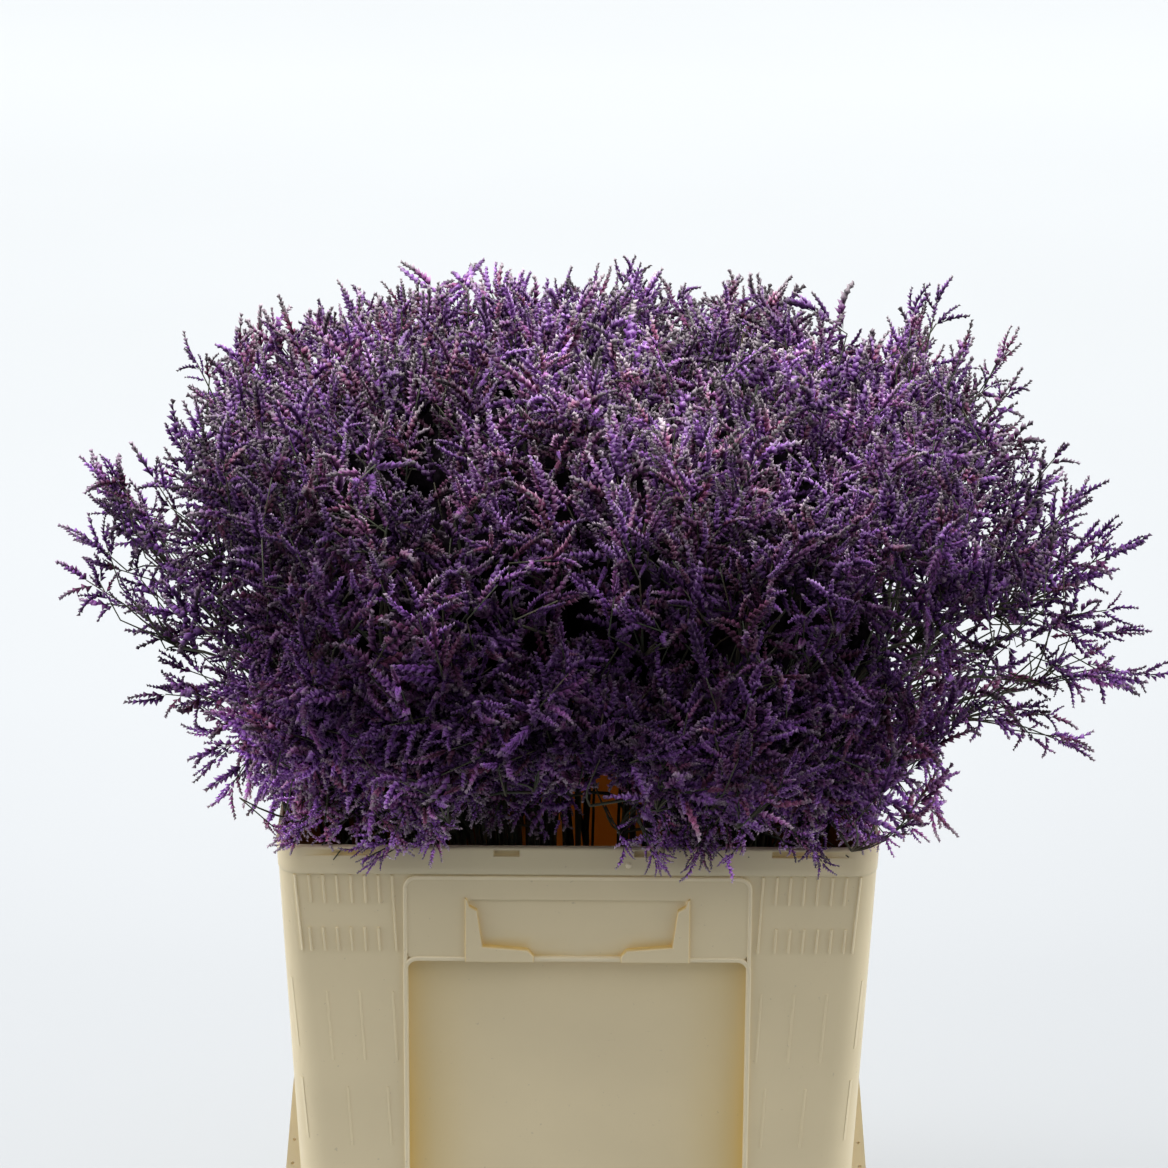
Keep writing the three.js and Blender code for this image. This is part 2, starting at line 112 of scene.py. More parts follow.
def square_to(direction):
    """Two unit vectors square to each direction."""
    steep = np.abs(direction[..., 2:]) > 0.9
    u = unit(np.cross(np.where(steep, [1.0, 0, 0], [0, 0, 1.0]), direction))
    return u, np.cross(direction, u)


def smooth(low, high, value):
    """0 below low, 1 above high, and an even S between them."""
    t = np.clip((value - low) / (high - low), 0, 1)
    return t * t * (3 - 2 * t)


def bell(distance, reach):
    """1 at no distance, and an even fall to 0 past the reach."""
    return np.exp(-((distance / reach) ** 2))


# Meshes

class Shape:
    """Vertices with four tones each, and triangles with a material number."""

    def __init__(self):
        self.points, self.tones, self.faces, self.finish = [], [], [], []
        self.count = 0

    def add(self, points, faces, tones=(0, 0, 0, 0), finish=0):
        points = np.asarray(points, float).reshape(-1, 3)
        faces = np.asarray(faces, int).reshape(-1, 3)
        self.points.append(points)
        self.tones.append(np.broadcast_to(np.asarray(tones, float), (len(points), 4)))
        self.faces.append(faces + self.count)
        self.finish.append(np.broadcast_to(finish, len(faces)))
        self.count += len(points)

    def mesh(self, name):
        faces = np.concatenate(self.faces)
        mesh = bpy.data.meshes.new(name)
        mesh.vertices.add(self.count)
        mesh.loops.add(faces.size)
        mesh.polygons.add(len(faces))
        starts = np.arange(0, faces.size, 3, dtype=np.int32)
        mesh.vertices.foreach_set("co", (np.concatenate(self.points) * MM).astype(np.float32).ravel())
        mesh.loops.foreach_set("vertex_index", faces.astype(np.int32).ravel())
        mesh.polygons.foreach_set("loop_start", starts)
        mesh.polygons.foreach_set("material_index", np.concatenate(self.finish).astype(np.int32))
        mesh.update(calc_edges=True)
        mesh.polygons.foreach_set("use_smooth", np.ones(len(faces), bool))
        tone = mesh.attributes.new("tone", "FLOAT_COLOR", "POINT")
        tone.data.foreach_set("color", np.concatenate(self.tones).astype(np.float32).ravel())
        return mesh

    def build(self, name, materials, slot, replaced, sharp=None):
        """Writes the mesh as one piece that stands for the replaced node."""
        mesh = self.mesh(name)
        if sharp is not None:
            mesh.set_sharp_from_angle(angle=math.radians(sharp))
        for material in materials:
            mesh.materials.append(material)
        piece = bpy.data.objects.new(name, mesh)
        bpy.context.scene.collection.objects.link(piece)
        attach(piece, "root")
        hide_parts(replaced)


def band(lower, upper):
    """Triangles between two closed rings of point numbers."""
    after, above = np.roll(lower, -1), np.roll(upper, -1)
    return np.concatenate([np.stack([lower, after, above], 1), np.stack([lower, above, upper], 1)])


def net(rows, columns, closed=False):
    """Triangles of a stack of closed rings, whose last one is joined to the first if closed."""
    rings = np.arange(rows * columns).reshape(rows, columns)
    steps = rows if closed else rows - 1
    return np.concatenate([band(rings[i], rings[(i + 1) % rows]) for i in range(steps)])


def cap(ring, centre):
    """Triangles from one point to each step of a closed ring."""
    return np.stack([np.full(len(ring), centre), ring, np.roll(ring, -1)], 1)


def repeated(faces, count, size):
    """The same triangles on each of many equal blocks of points."""
    return faces[None] + (np.arange(count) * size)[:, None, None]


def tubes(paths, radii, sides):
    """Closed round tubes along paths (n, m, 3) with radii (n, m): all points and triangles."""
    n, m = radii.shape
    tangent = unit(np.gradient(paths, axis=1))
    middle = unit(paths[:, -1] - paths[:, 0])
    u, _ = square_to(middle)
    side = unit(np.cross(tangent, np.cross(u, middle)[:, None, :]))
    other = np.cross(tangent, side)
    angle = (2 * np.pi * np.arange(sides) / sides)[:, None]
    ring = side[:, :, None, :] * np.cos(angle) + other[:, :, None, :] * np.sin(angle)
    rings = paths[:, :, None, :] + ring * radii[:, :, None, None]
    points = np.concatenate([rings.reshape(n, -1, 3), paths[:, :1], paths[:, -1:]], axis=1)
    first, last = np.arange(sides), (m - 1) * sides + np.arange(sides)
    faces = np.concatenate([net(m, sides), cap(first[::-1], m * sides), cap(last, m * sides + 1)])
    return points, repeated(faces, n, m * sides + 2)


def bezier(start, control, end, count):
    """Points (n, count, 3) along quadratic curves."""
    t = np.linspace(0, 1, count)[None, :, None]
    a, b, c = start[:, None, :], control[:, None, :], end[:, None, :]
    return a * (1 - t) ** 2 + 2 * b * t * (1 - t) + c * t**2


# Stems: where each crosses the rim's level, and its direction

def stem_plan():
    places = []
    for count, first, across, deep, turn in RINGS:
        for i in range(first, count):
            angle = math.radians(-90 + turn + 360 * i / count)
            places.append((across * math.cos(angle), deep * math.sin(angle), RIM_HEIGHT - FAN[2]))
    places = np.array(places, float)
    return places[:, :2], unit(places)


STEM_PLACES, STEM_DIRECTIONS = stem_plan()


def head_of(points):
    """The head whose cell, a cone from the fan point, holds each point."""
    return np.argmax(unit(points - FAN) @ STEM_DIRECTIONS.T, axis=1)


def mass_level(p):
    """Under 1 inside the flower mass and 1 on its surface."""
    x, y, z = xyz(p)
    half = np.where(z > MASS_HEIGHT, MASS_UP, MASS_DOWN)
    middle = MASS_MIDDLE + MASS_SHIFT * np.maximum(0, MASS_HEIGHT - z)
    bumps = np.sin(x / 41 + 0.8) * np.sin(y / 37 + 2.1) + np.sin(z / 33 + x / 70)
    level = (
        (np.abs(x - middle) / MASS_ACROSS) ** MASS_SQUARENESS
        + (np.abs(y) / MASS_DEEP) ** MASS_SQUARENESS
        + (np.abs(z - MASS_HEIGHT) / half) ** MASS_SQUARENESS
    )
    return level * (1 + MASS_BUMP * bumps)


def mass_slope(p):
    """Gradient of the level, by small steps."""
    steps = 2.0 * np.eye(3)
    slope = [(mass_level(p + step) - mass_level(p - step)) / (2 * step.max()) for step in steps]
    return np.stack(slope, axis=-1)


def in_front_gap(p, margin=0):
    """Whether a point is in the opening at the front, grown by a margin."""
    x, y, z = xyz(p)
    inside = (x > GAP_LEFT - margin) & (x < GAP_RIGHT + margin)
    return inside & (y < GAP_BACK + margin) & (z < GAP_TOP + margin - GAP_SINK * (y + HALF_DEPTH))


def clear_of_rim(p):
    """Clear of the bucket, which the outer heads hang over, and of the gap at the front."""
    x, y, z = xyz(p)
    beside = (np.abs(x) > HALF_WIDTH + 8) | (y > HALF_DEPTH + 8)
    return ~in_front_gap(p) & ((z > RIM_HEIGHT + 8) | (beside & (z > RIM_HEIGHT - 22)))


# Flower clusters: a fine twig with spikes along it, spread evenly over the mass

CLUSTER_GAP = 19.3
# Random points from which the surface's are taken, and how far the list is turned for the next shell
SURFACE_TRIES, SURFACE_TURN = 900000, 977
SPIKE_LENGTH, TWIG_BACK = 25.0, 30
# Each shell's depth under the surface, and its gap as a share of the clusters' own
SHELLS = [(9, 1.0), (33, 1.25)]
HOLLOWS, HOLLOW_DEPTH, HOLLOW_RADIUS = 75, 32, 25
# Bunches: a valley along the border of two heads, and a lift of each head's own
VALLEY_DEPTH, VALLEY_HALF = 17, 17
BUNCH_LIFT = 7
# Length over which the clusters' directions and tints change
BUNCH_REACH = 17
# Dips in the top: place across, half width and depth
TOP_DIPS = [(-60, 50, 9), (10, 40, 16), (72, 26, 34), (108, 45, 18), (178, 34, 42)]
DIP_SHARE = 0.8
# How deep the clusters at the loose ends may sink, and how much any cluster's depth strays
LOOSE_SINK, SINK_STRAY = (-12, 42), 8
# A cluster's direction: shares of the surface's normal, up, down low in the mass, away from the fan
# point, its own stray and its bunch's lean, and the least that it faces outward
OUTWARD, UPWARD, DOWNWARD, FANNED, STRAY, LEAN, FACING = 0.6, 0.45, 0.6, 0.35, 0.42, 0.5, 0.3


def surface_points(count):
    """Random points on the mass's surface, with their normals."""
    low = np.array([-MASS_ACROSS - 20, -MASS_DEEP - 15, RIM_HEIGHT - 24])
    high = np.array([MASS_ACROSS + 70, MASS_DEEP + 15, MASS_HEIGHT + MASS_UP + 10])
    p = rng.uniform(low, high, (count, 3))
    slope = mass_slope(p)
    off = (mass_level(p) - 1) / np.maximum(np.linalg.norm(slope, axis=1), 1e-6)
    near = np.abs(off) < 3
    normal = unit(slope[near])
    return p[near] - normal * off[near, None], normal


def spread(points, gap):
    """Indices of points that keep a gap to each other, taken in order."""
    cells, taken = {}, []
    near = [(i, j, k) for i in (-1, 0, 1) for j in (-1, 0, 1) for k in (-1, 0, 1)]
    for index, (p, key) in enumerate(zip(points, np.floor(points / gap).astype(int))):
        around = (cells.get((key[0] + i, key[1] + j, key[2] + k)) for i, j, k in near)
        others = [q for cell in around if cell for q in cell]
        if others and np.min(np.sum((np.array(others) - p) ** 2, axis=1)) < gap * gap:
            continue
        cells.setdefault(tuple(key), []).append(p)
        taken.append(index)
    return np.array(taken)


def hollow_share(p, centres):
    """1 in the heart of the hollows between bunches, and less at the top, which is fuller."""
    apart = np.linalg.norm(p[:, None, :] - centres[None], axis=2)
    return bell(apart, HOLLOW_RADIUS).max(axis=1) * (1 - 0.9 * smooth(590, 670, p[:, 2]))


def bunch_relief(p, lifts):
    """How far the surface is sunk between the bunches and by each bunch's own height."""
    facing = unit(p - FAN) @ STEM_DIRECTIONS.T
    own, other = np.argsort(-facing, axis=1)[:, :2].T
    rows = np.arange(len(p))
    apart = np.linalg.norm(STEM_DIRECTIONS[own] - STEM_DIRECTIONS[other], axis=1)
    gap = (facing[rows, own] - facing[rows, other]) / apart * np.linalg.norm(p - FAN, axis=1)
    return VALLEY_DEPTH * bell(gap, VALLEY_HALF) - lifts[own]


def top_dip(p):
    dips = sum(deep * bell(p[:, 0] - x, half) for x, half, deep in TOP_DIPS)
    return DIP_SHARE * smooth(640, 730, p[:, 2]) * dips


def side_share(p):
    """1 at the loose left and right ends of the mass, 0 over its middle."""
    across = np.abs(p[:, 0] - MASS_MIDDLE - 14)
    return smooth(205, 300, across) * smooth(760, 690, p[:, 2])


def past_corner(p):
    """1 in the lower corners and the upper left one, which only sprigs reach, and 0 elsewhere."""
    x, _, z = xyz(p)
    up = np.clip(z - RIM_HEIGHT - 10, 0, 110)
    limit = np.where(x < 0, 184 + 0.75 * up, 192 + 0.6 * up)
    low = smooth(0, 24, np.abs(x) - limit) * smooth(565, 515, z)
    return np.maximum(low, smooth(-266, -280, x) * smooth(636, 650, z))


def cluster_ways(p, n, waves, starts):
    """The clusters' directions, whose lean changes slowly, so that near ones point the same way."""
    low = smooth(540, 470, p[:, 2])
    up = np.array([0, 0, 1.0]) * (UPWARD - DOWNWARD * low)[:, None]
    stray = rng.normal(0, STRAY, p.shape) + LEAN * np.sin(p @ waves.T / BUNCH_REACH + starts)
    d = unit(OUTWARD * n + up + FANNED * unit(p - FAN) + stray)
    facing = np.sum(d * n, axis=1)
    return unit(d + n * np.maximum(0, FACING - facing)[:, None])


def cluster_kept(p, n, d, hollow, side):
    """Which clusters stay: all clear of the rim, and fewer below, in hollows and at the ends."""
    chance = rng.random((4, len(p)))
    keep = clear_of_rim(p) & clear_of_rim(p - 24 * d)
    keep &= (n[:, 2] > -0.55) | (chance[0] < 0.4)
    keep &= chance[1] > hollow - 0.25
    keep &= chance[2] > np.where(p[:, 0] < 0, 0.3, 0.62) * side
    keep &= chance[3] > 0.88 * past_corner(p)
    return keep & ((p - (SPIKE_LENGTH + TWIG_BACK) * d)[:, 2] > RIM_HEIGHT + 8)


def cluster_plan():
    """Tip and direction of every cluster of the mass."""
    tips, directions = [], []
    surface, normal = surface_points(SURFACE_TRIES)
    centres = surface[rng.choice(len(surface), HOLLOWS, replace=False)]
    lifts = rng.normal(0, BUNCH_LIFT, len(STEM_DIRECTIONS))
    waves, starts = unit(rng.normal(0, 1, (3, 3))), rng.uniform(0, 6, 3)
    for sunk, gap in SHELLS:
        chosen = spread(surface, CLUSTER_GAP * gap)
        p, n = surface[chosen], normal[chosen]
        hollow, side = hollow_share(p, centres), side_share(p)
        deep = sunk + HOLLOW_DEPTH * hollow + side * rng.uniform(*LOOSE_SINK, len(p))
        deep = deep + bunch_relief(p, lifts) + rng.uniform(-SINK_STRAY, SINK_STRAY, len(p))
        p = p - n * deep[:, None]
        p[:, 2] -= top_dip(p)
        d = cluster_ways(p, n, waves, starts)
        keep = cluster_kept(p, n, d, hollow, side)
        tips.append(p[keep])
        directions.append(d[keep])
        surface, normal = (np.roll(part, SURFACE_TURN, axis=0) for part in (surface, normal))
    return np.concatenate(tips), np.concatenate(directions)


# The fringe that hangs at the rim, along the front and the back

# Points tried, the gap that the clusters keep, and the side, -1 for the front
FRONT_FRINGE, BACK_FRINGE = (8000, 10.9, -1), (3000, 17, 1)
# Bunches that hang over the rim's front edge: the place of the tip and the way it points
HANGING = [
    (-150, -163, 425, -0.9, -0.25, -0.2), (-124, -161, 430, -0.7, -0.35, -0.5),
    (-104, -161, 432, -0.1, -0.5, -0.5), (-86, -161, 434, 0.2, -0.5, -0.5),
    (-203, -158, 436, -0.5, -0.5, -0.4), (-188, -160, 430, -0.3, -0.5, -0.7),
    (-172, -159, 434, -0.2, -0.6, -0.6), (46, -161, 428, -0.2, -0.5, -0.7),
    (54, -166, 416, 0.1, -0.4, -0.8), (62, -162, 424, 0.2, -0.5, -0.7),
    (78, -163, 425, 0.1, -0.5, -0.7), (92, -160, 431, 0.2, -0.6, -0.6),
    (106, -162, 426, 0.3, -0.5, -0.7), (146, -159, 433, 0.2, -0.6, -0.5),
    (162, -162, 426, 0.3, -0.5, -0.7), (178, -162, 427, 0.3, -0.5, -0.6),
    (196, -160, 433, 0.5, -0.5, -0.4),
]
BUNCH_CLUSTERS = 4
# Thin twigs that reach out low at the rim's right corner
HANGING_THIN = [
    (212, -150, 430, 0.7, -0.4, -0.4), (228, -138, 430, 0.85, -0.3, -0.3),
    (243, -122, 434, 0.9, -0.2, -0.3),
]
HANGING_STRAY = (7, 3, 6, 0.4, 0.2, 0.4)


def fringe_row(count, gap, side):
    """Tip and direction of clusters that rest on the rim's front, at side -1, or its back, at 1."""
    x = rng.uniform(-HALF_WIDTH - 24, HALF_WIDTH + 4, count)
    z = rng.uniform(RIM_HEIGHT + 4, 560, count)
    y = -HALF_DEPTH + 8 - 60 * smooth(450, 560, z) + rng.uniform(-10, 10, count)
    y = (y + 1.6 * np.maximum(0, np.abs(x) - HALF_WIDTH + 14)) * -side
    p = np.column_stack([x, y, z])
    rare = rng.random(count) < 0.12
    edge = RIM_HEIGHT + 6 + 9 * np.sin(x / 17 + 0.6) + 6 * np.sin(x / 7.3)
    keep = (~in_front_gap(p) | (rare & (x < -8))) & ((z > edge) | (np.abs(x) > HALF_WIDTH - 30))
    p = p[keep]
    p = p[spread(p, gap)]
    low = smooth(RIM_HEIGHT + 34, RIM_HEIGHT + 6, p[:, 2])
    rise = 0.25 * smooth(440, 500, p[:, 2]) - 0.5 * low
    d = np.column_stack([0.35 * p[:, 0] / HALF_WIDTH, np.full(len(p), 0.8 * side), rise])
    d = unit(d + rng.normal(0, 0.3, p.shape))
    root = p - 50 * d
    inside = (root[:, 1] * side < HALF_DEPTH - 12) | (root[:, 2] > RIM_HEIGHT + 20)
    keep = inside & (root[:, 2] > RIM_HEIGHT + 2)
    return p[keep], d[keep]


def fringe_plan():
    """Tip and direction of the clusters at the rim, with the bunches that hang over it."""
    front, back = fringe_row(*FRONT_FRINGE), fringe_row(*BACK_FRINGE)
    hanging = np.concatenate([np.repeat(np.array(HANGING, float), BUNCH_CLUSTERS, axis=0), HANGING_THIN])
    hanging += rng.normal(0, 1, hanging.shape) * HANGING_STRAY
    hanging[:, 5] = np.minimum(hanging[:, 5], -0.3)
    rows = front, back, (hanging[:, :3], unit(hanging[:, 3:]))
    return [np.concatenate(part) for part in zip(*rows)]


def sprig_clusters():
    """Clusters of the loose sprigs: one at each tip and some along its twig."""
    tips, directions = [], []
    for place in SPRIG_TIPS:
        tip = np.array(place, float)
        head = STEM_DIRECTIONS[head_of(tip[None])[0]]
        outward = unit(tip - FAN - head * 0.85 * reach_of(head, 0.58))
        u, v = square_to(outward)
        for k in range(5):
            turn = 2.4 * k + rng.uniform(-0.4, 0.4)
            side = (math.cos(turn) * u + math.sin(turn) * v) * (k > 0)
            tips.append(tip - outward * (14 * k) + side * (12 + 2 * k))
            directions.append(unit(outward + 0.6 * side))
    return np.array(tips), np.array(directions)


# Spikes: a curved axis with two rows of small flowers along one side

# Kinds of spikes: how many, their flowers, how open those are, and how plump
FULL_SPIKES, AIRY_SPIKES = (16, 11, (0.6, 1.05), 1.0), (8, 8, (1.0, 1.4), 1.25)
AXIS_RADIUS, AXIS_TONE = 1.0, 0.25
FLORET_LENGTH, FLORET_WIDTH = 6.0, 4.0
# A bud's foot, its two lower corners and its tip: how grown each is, for its colour
FLORET_TONES = (0.28, 0.62, 0.62, 1)
FLORET_FACES = np.array([(0, 1, 3), (0, 3, 2), (0, 2, 1), (1, 2, 3)])


def axis_at(bend, t):
    """At share t of an axis that turns by bend: its place, its direction and two square to that."""
    angle = bend * t
    place = np.array([0, 0, SPIKE_LENGTH * t])
    if abs(bend) > 1e-3:
        place = SPIKE_LENGTH / bend * np.array([math.cos(angle) - 1, 0, math.sin(angle)])
    tangent = np.array([-math.sin(angle), 0, math.cos(angle)])
    side = np.array([tangent[2], 0, -tangent[0]])
    return place, tangent, side, np.cross(tangent, side)


def spike_axis(bend):
    """Points, triangles and tones of a spike's thin three-sided axis."""
    points = [axis_at(bend, 0)[0]]
    place, _, side, other = axis_at(bend, 0.5)
    for turn in 2 * np.pi * np.arange(3) / 3:
        points.append(place + AXIS_RADIUS * (math.cos(turn) * side + math.sin(turn) * other))
    points.append(axis_at(bend, 1)[0])
    ring = np.arange(1, 4)
    tones = [(AXIS_TONE, t, 0, 0) for t in (0, 0.5, 0.5, 0.5, 1)]
    return points, [*cap(ring[::-1], 0), *cap(ring, 4)], tones


def floret(place, forward, outward, length, width):
    """A pointed bud: a ridge from its foot to its tip, and a lower corner on each side."""
    across = 0.5 * width * np.cross(forward, outward)
    middle = place + 0.56 * length * forward - 0.42 * width * outward
    return [place, middle - across, middle + across, place + length * forward + 0.1 * length * outward]


def spike_template(florets, openness, plump):
    """Points, triangles and tones of one spike, its foot at the origin and its flowers on +X."""
    bend = rng.uniform(-0.7, 1.3)
    points, faces, tones = spike_axis(bend)
    for i in range(florets):
        t = 0.06 + 0.92 * (i + rng.uniform(-0.2, 0.2)) / (florets - 1)
        place, tangent, side, other = axis_at(bend, min(max(t, 0.03), 0.98))
        turn = (1 if i % 2 else -1) * rng.uniform(0.25, 1.15)
        outward = math.cos(turn) * side + math.sin(turn) * other
        lean = openness * (0.66 - 0.40 * t) * rng.uniform(0.85, 1.15)
        forward = math.cos(lean) * tangent + math.sin(lean) * outward
        outward = math.cos(lean) * outward - math.sin(lean) * tangent
        size = 1.12 - 0.45 * t * t
        faces += [*(FLORET_FACES + len(points))]
        points += floret(place, forward, outward, FLORET_LENGTH * size, FLORET_WIDTH * size * plump)
        stray = rng.uniform(-0.08, 0.08)
        tones += [(grow, t + stray, 0, 0) for grow in FLORET_TONES]
    return np.array(points), np.array(faces), np.array(tones)


def spike_templates(count, florets, openness, plump):
    return [spike_template(florets, rng.uniform(*openness), plump) for _ in range(count)]


def in_wall(p):
    """Whether a point is in the bucket's wall or within a spike's thickness of it."""
    x, y, z = xyz(np.abs(p))
    outer = (x < HALF_WIDTH + 4) & (y < HALF_DEPTH + 4)
    inner = (x < HALF_WIDTH - 12) & (y < HALF_DEPTH - 12)
    return outer & ~inner & (z < RIM_HEIGHT + 3)


def spikes_of(c):
    """Every spike's foot, sized frame (X, Y, Z as rows), own tint and cluster, for clusters c."""
    u, v = square_to(c.ways)
    start = rng.uniform(0, 2 * np.pi, len(c.tips))
    made = []
    for k in range(c.counts.max()):
        used = np.flatnonzero(c.counts > k)
        d, s = c.ways[used], c.sizes[used]
        azimuth = start[used] + np.pi * (k % 2) + rng.normal(0, 0.65, len(used))
        polar = (0.0 if k == 0 else 0.5 + 0.07 * k) + rng.normal(0, 0.16, len(used))
        out = u[used] * np.cos(azimuth)[:, None] + v[used] * np.sin(azimuth)[:, None]
        cosine, sine = np.cos(polar)[:, None], np.sin(polar)[:, None]
        forward, away = unit(d * cosine + out * sine), unit(out * cosine - d * sine)
        back = SPIKE_LENGTH + (0 if k == 0 else 1.5 + 5.4 * (k - 1))
        foot = c.tips[used] - d * (back * s)[:, None]
        tip = foot + forward * SPIKE_LENGTH * s[:, None]
        free = ~(in_wall(foot) | in_wall(tip) | in_wall((foot + tip) / 2))
        x = away * np.where(rng.random(len(used)) < 0.4, -1, 1)[:, None]
        long = s * rng.uniform(0.72, 1.25, len(used))
        wide = long * c.slims[used]
        axes = np.stack([x, np.cross(forward, x), forward], axis=1)
        axes *= np.stack([wide, wide, long], axis=1)[:, :, None]
        made.append([part[free] for part in (foot, axes, rng.random(len(used)), used)])
    return [np.concatenate(part) for part in zip(*made)]


# Branches of a head, from its stem to its clusters

GROUP_SIZE = 8
# Heights and radii of the stem in the bucket, and its radii in the head
STEM_HEIGHTS = [WALL + 0.5, 80, 160, 240, 320, 390, 430, HEAD_START]
STEM_RADII = [2.4, 2.4, 2.4, 2.4, 2.35, 2.3, 2.2, 2.1, 1.6, 0.9]
SHOOTS, SHOOTS_IN_GAP = 9, 1
TWIG_SIDES = 3


def reach_of(direction, level):
    """Distance from the fan point to a level of the mass, measured above its widest height."""
    far = np.arange(900.0, 200.0, -2.0)
    p = FAN + far[:, None] * direction
    p[:, 2] = np.maximum(p[:, 2], MASS_HEIGHT)
    inside = np.flatnonzero(mass_level(p) <= level)
    return far[inside[0]] if len(inside) else 260.0


def grouped(points):
    """A group number for each point, about GROUP_SIZE near ones together."""
    count = max(1, len(points) // GROUP_SIZE)
    seeds = [0]
    gap = np.linalg.norm(points - points[0], axis=1)
    while len(seeds) < count:
        seeds.append(int(np.argmax(gap)))
        gap = np.minimum(gap, np.linalg.norm(points - points[seeds[-1]], axis=1))
    apart = np.linalg.norm(points[:, None] - points[seeds][None], axis=2)
    return np.argmin(apart, axis=1), count


def stem_curve(head, heights):
    """The bare stem's line: from the bucket's floor by its waist to the rim, and straight above."""
    heights = np.asarray(heights, float)
    fit = np.polyfit([WALL + 0.5, RIM_HEIGHT / 2, RIM_HEIGHT], [STEM_FOOT, STEM_WAIST, 1.0], 2)
    above = (heights - FAN[2]) / (RIM_HEIGHT - FAN[2])
    share = np.where(heights < RIM_HEIGHT, np.polyval(fit, heights), above)
    return np.column_stack([share[:, None] * STEM_PLACES[head], heights])


def bare_stem(shape, head, reach):
    top = FAN[2] + reach * STEM_DIRECTIONS[head][2] * 0.97
    line = stem_curve(head, [*STEM_HEIGHTS, (HEAD_START + top) / 2, top])
    shape.add(*tubes(line[None], np.array([STEM_RADII]), 6), tones=(0, 0, rng.random(), 0))


def basal_shoots(shape, head):
    """Side shoots that leave a stem low in the bucket and rise close beside it."""
    in_view = -32 < STEM_PLACES[head][0] < 60 and STEM_PLACES[head][1] < 90
    count = SHOOTS_IN_GAP if in_view else SHOOTS
    leave, angle, off = (rng.uniform(*ends, count) for ends in ((40, 330), (0, 2 * np.pi), (7, 17)))
    along = np.linspace(0, 1, 6)
    heights = leave[:, None] + (HEAD_START + 34 - leave[:, None]) * along
    paths = np.stack([stem_curve(head, row) for row in heights])
    grow = np.sin(along * np.pi * 0.62)[None, :] * off[:, None]
    drift = rng.normal(0, 16, (count, 2, 1)) * along**2
    for axis, turn, half in ((0, np.cos(angle), HALF_WIDTH), (1, np.sin(angle), HALF_DEPTH)):
        moved = paths[:, :, axis] + turn[:, None] * grow + drift[:, axis]
        paths[:, :, axis] = np.clip(moved, 16 - half, half - 16)
    radii = np.linspace(1.5, 1.0, 6)[None, :] * rng.uniform(0.8, 1.1, (count, 1))
    shape.add(*tubes(paths, radii, 4), tones=(0, 0, rng.random(), 0))


def primary_branches(shape, head, reach, hubs):
    """A branch from the stem to each hub of twigs, and where it leaves the stem."""
    direction = STEM_DIRECTIONS[head]
    along = (hubs - FAN) @ direction
    away = np.linalg.norm(hubs - FAN - along[:, None] * direction, axis=1)
    start = (HEAD_START - 40 - FAN[2]) / direction[2]
    feet = FAN + np.clip(along - 1.5 * away, start, 0.97 * reach)[:, None] * direction
    span = np.linalg.norm(hubs - feet, axis=1)[:, None]
    paths = bezier(feet, feet + direction * span * 0.55, hubs, 6)
    radii = np.linspace(1.5, 0.95, 6)[None].repeat(len(hubs), 0)
    shape.add(*tubes(paths, radii, 4), tones=(0, 0, 0.5, 0))
    return feet


def head_branches(shape, head, roots, bases):
    """The stem with its shoots, its primary branches, and a twig to each cluster."""
    reach = reach_of(STEM_DIRECTIONS[head], 0.6)
    bare_stem(shape, head, reach)
    basal_shoots(shape, head)
    group, count = grouped(roots)
    hubs = np.stack([roots[group == g].mean(axis=0) for g in range(count)])
    hubs = hubs - unit(hubs - FAN) * 30
    feet = primary_branches(shape, head, reach, hubs)
    hub, toward = hubs[group], unit(hubs - feet)[group]
    span = np.linalg.norm(roots - hub, axis=1)[:, None]
    curve = bezier(hub, hub + toward * np.minimum(span * 0.35, 12) + (roots - hub) * 0.25, roots, 4)
    twigs = np.concatenate([curve, bases[:, None, :]], axis=1)
    tints = rng.random(len(roots))
    tones = np.stack([0 * tints, 0 * tints, tints, tints], axis=1)
    radii = np.linspace(0.85, 0.5, 5)[None].repeat(len(roots), 0)
    shape.add(*tubes(twigs, radii, TWIG_SIDES), tones=tones.repeat(5 * TWIG_SIDES + 2, axis=0))


# A near-black core under the flowers, painted shade that stands in for the shade deep in the mass, one
# closed cone to each head

CORE_LEVEL = 0.28
CORE_SECTORS, CORE_RINGS = 20, 5


def cell_edge(head, out):
    """How far the head's cell reaches from its axis, as the tangent of an angle."""
    axis = STEM_DIRECTIONS[head]
    normal = axis - np.delete(STEM_DIRECTIONS, head, axis=0)
    toward, across = normal @ axis, normal @ out
    limits = np.where(across < -1e-6, -toward / np.minimum(across, -1e-6), 9)
    return min(limits.min(), 0.75)


def lifted(p):
    """A core point raised clear of the rim and of the gap at the front, and drawn back there."""
    lowest = RIM_HEIGHT + 34 + 50 * (p[1] < -40)
    if in_front_gap(p, 24):
        lowest = GAP_TOP + 30
    if p[2] >= lowest:
        return p
    x = np.clip(p[0], 34 - HALF_WIDTH, HALF_WIDTH - 34)
    return np.array([x, np.clip(p[1], -75, HALF_DEPTH - 40), lowest + rng.uniform(0, 12)])


def core_points(head):
    """A fan of rings over the cell at the core's level, roughened, and a foot at the neck."""
    axis = STEM_DIRECTIONS[head]
    u, v = square_to(axis)
    points = []
    for ring in range(CORE_RINGS + 1):
        for k in range(CORE_SECTORS if ring else 1):
            turn = 2 * math.pi * k / CORE_SECTORS
            out = math.cos(turn) * u + math.sin(turn) * v
            edge = cell_edge(head, out) * 0.985 * ring / CORE_RINGS
            direction = unit(axis + edge * out)
            reach = reach_of(direction, CORE_LEVEL) + rng.uniform(-9, 9)
            points.append(lifted(FAN + direction * reach))
    neck = HEAD_START + (50 if axis[1] < -0.1 else 10)
    points.append(FAN + axis * (neck - FAN[2]) / axis[2])
    points = np.array(points)
    points[:, 2] -= top_dip(points)
    return points


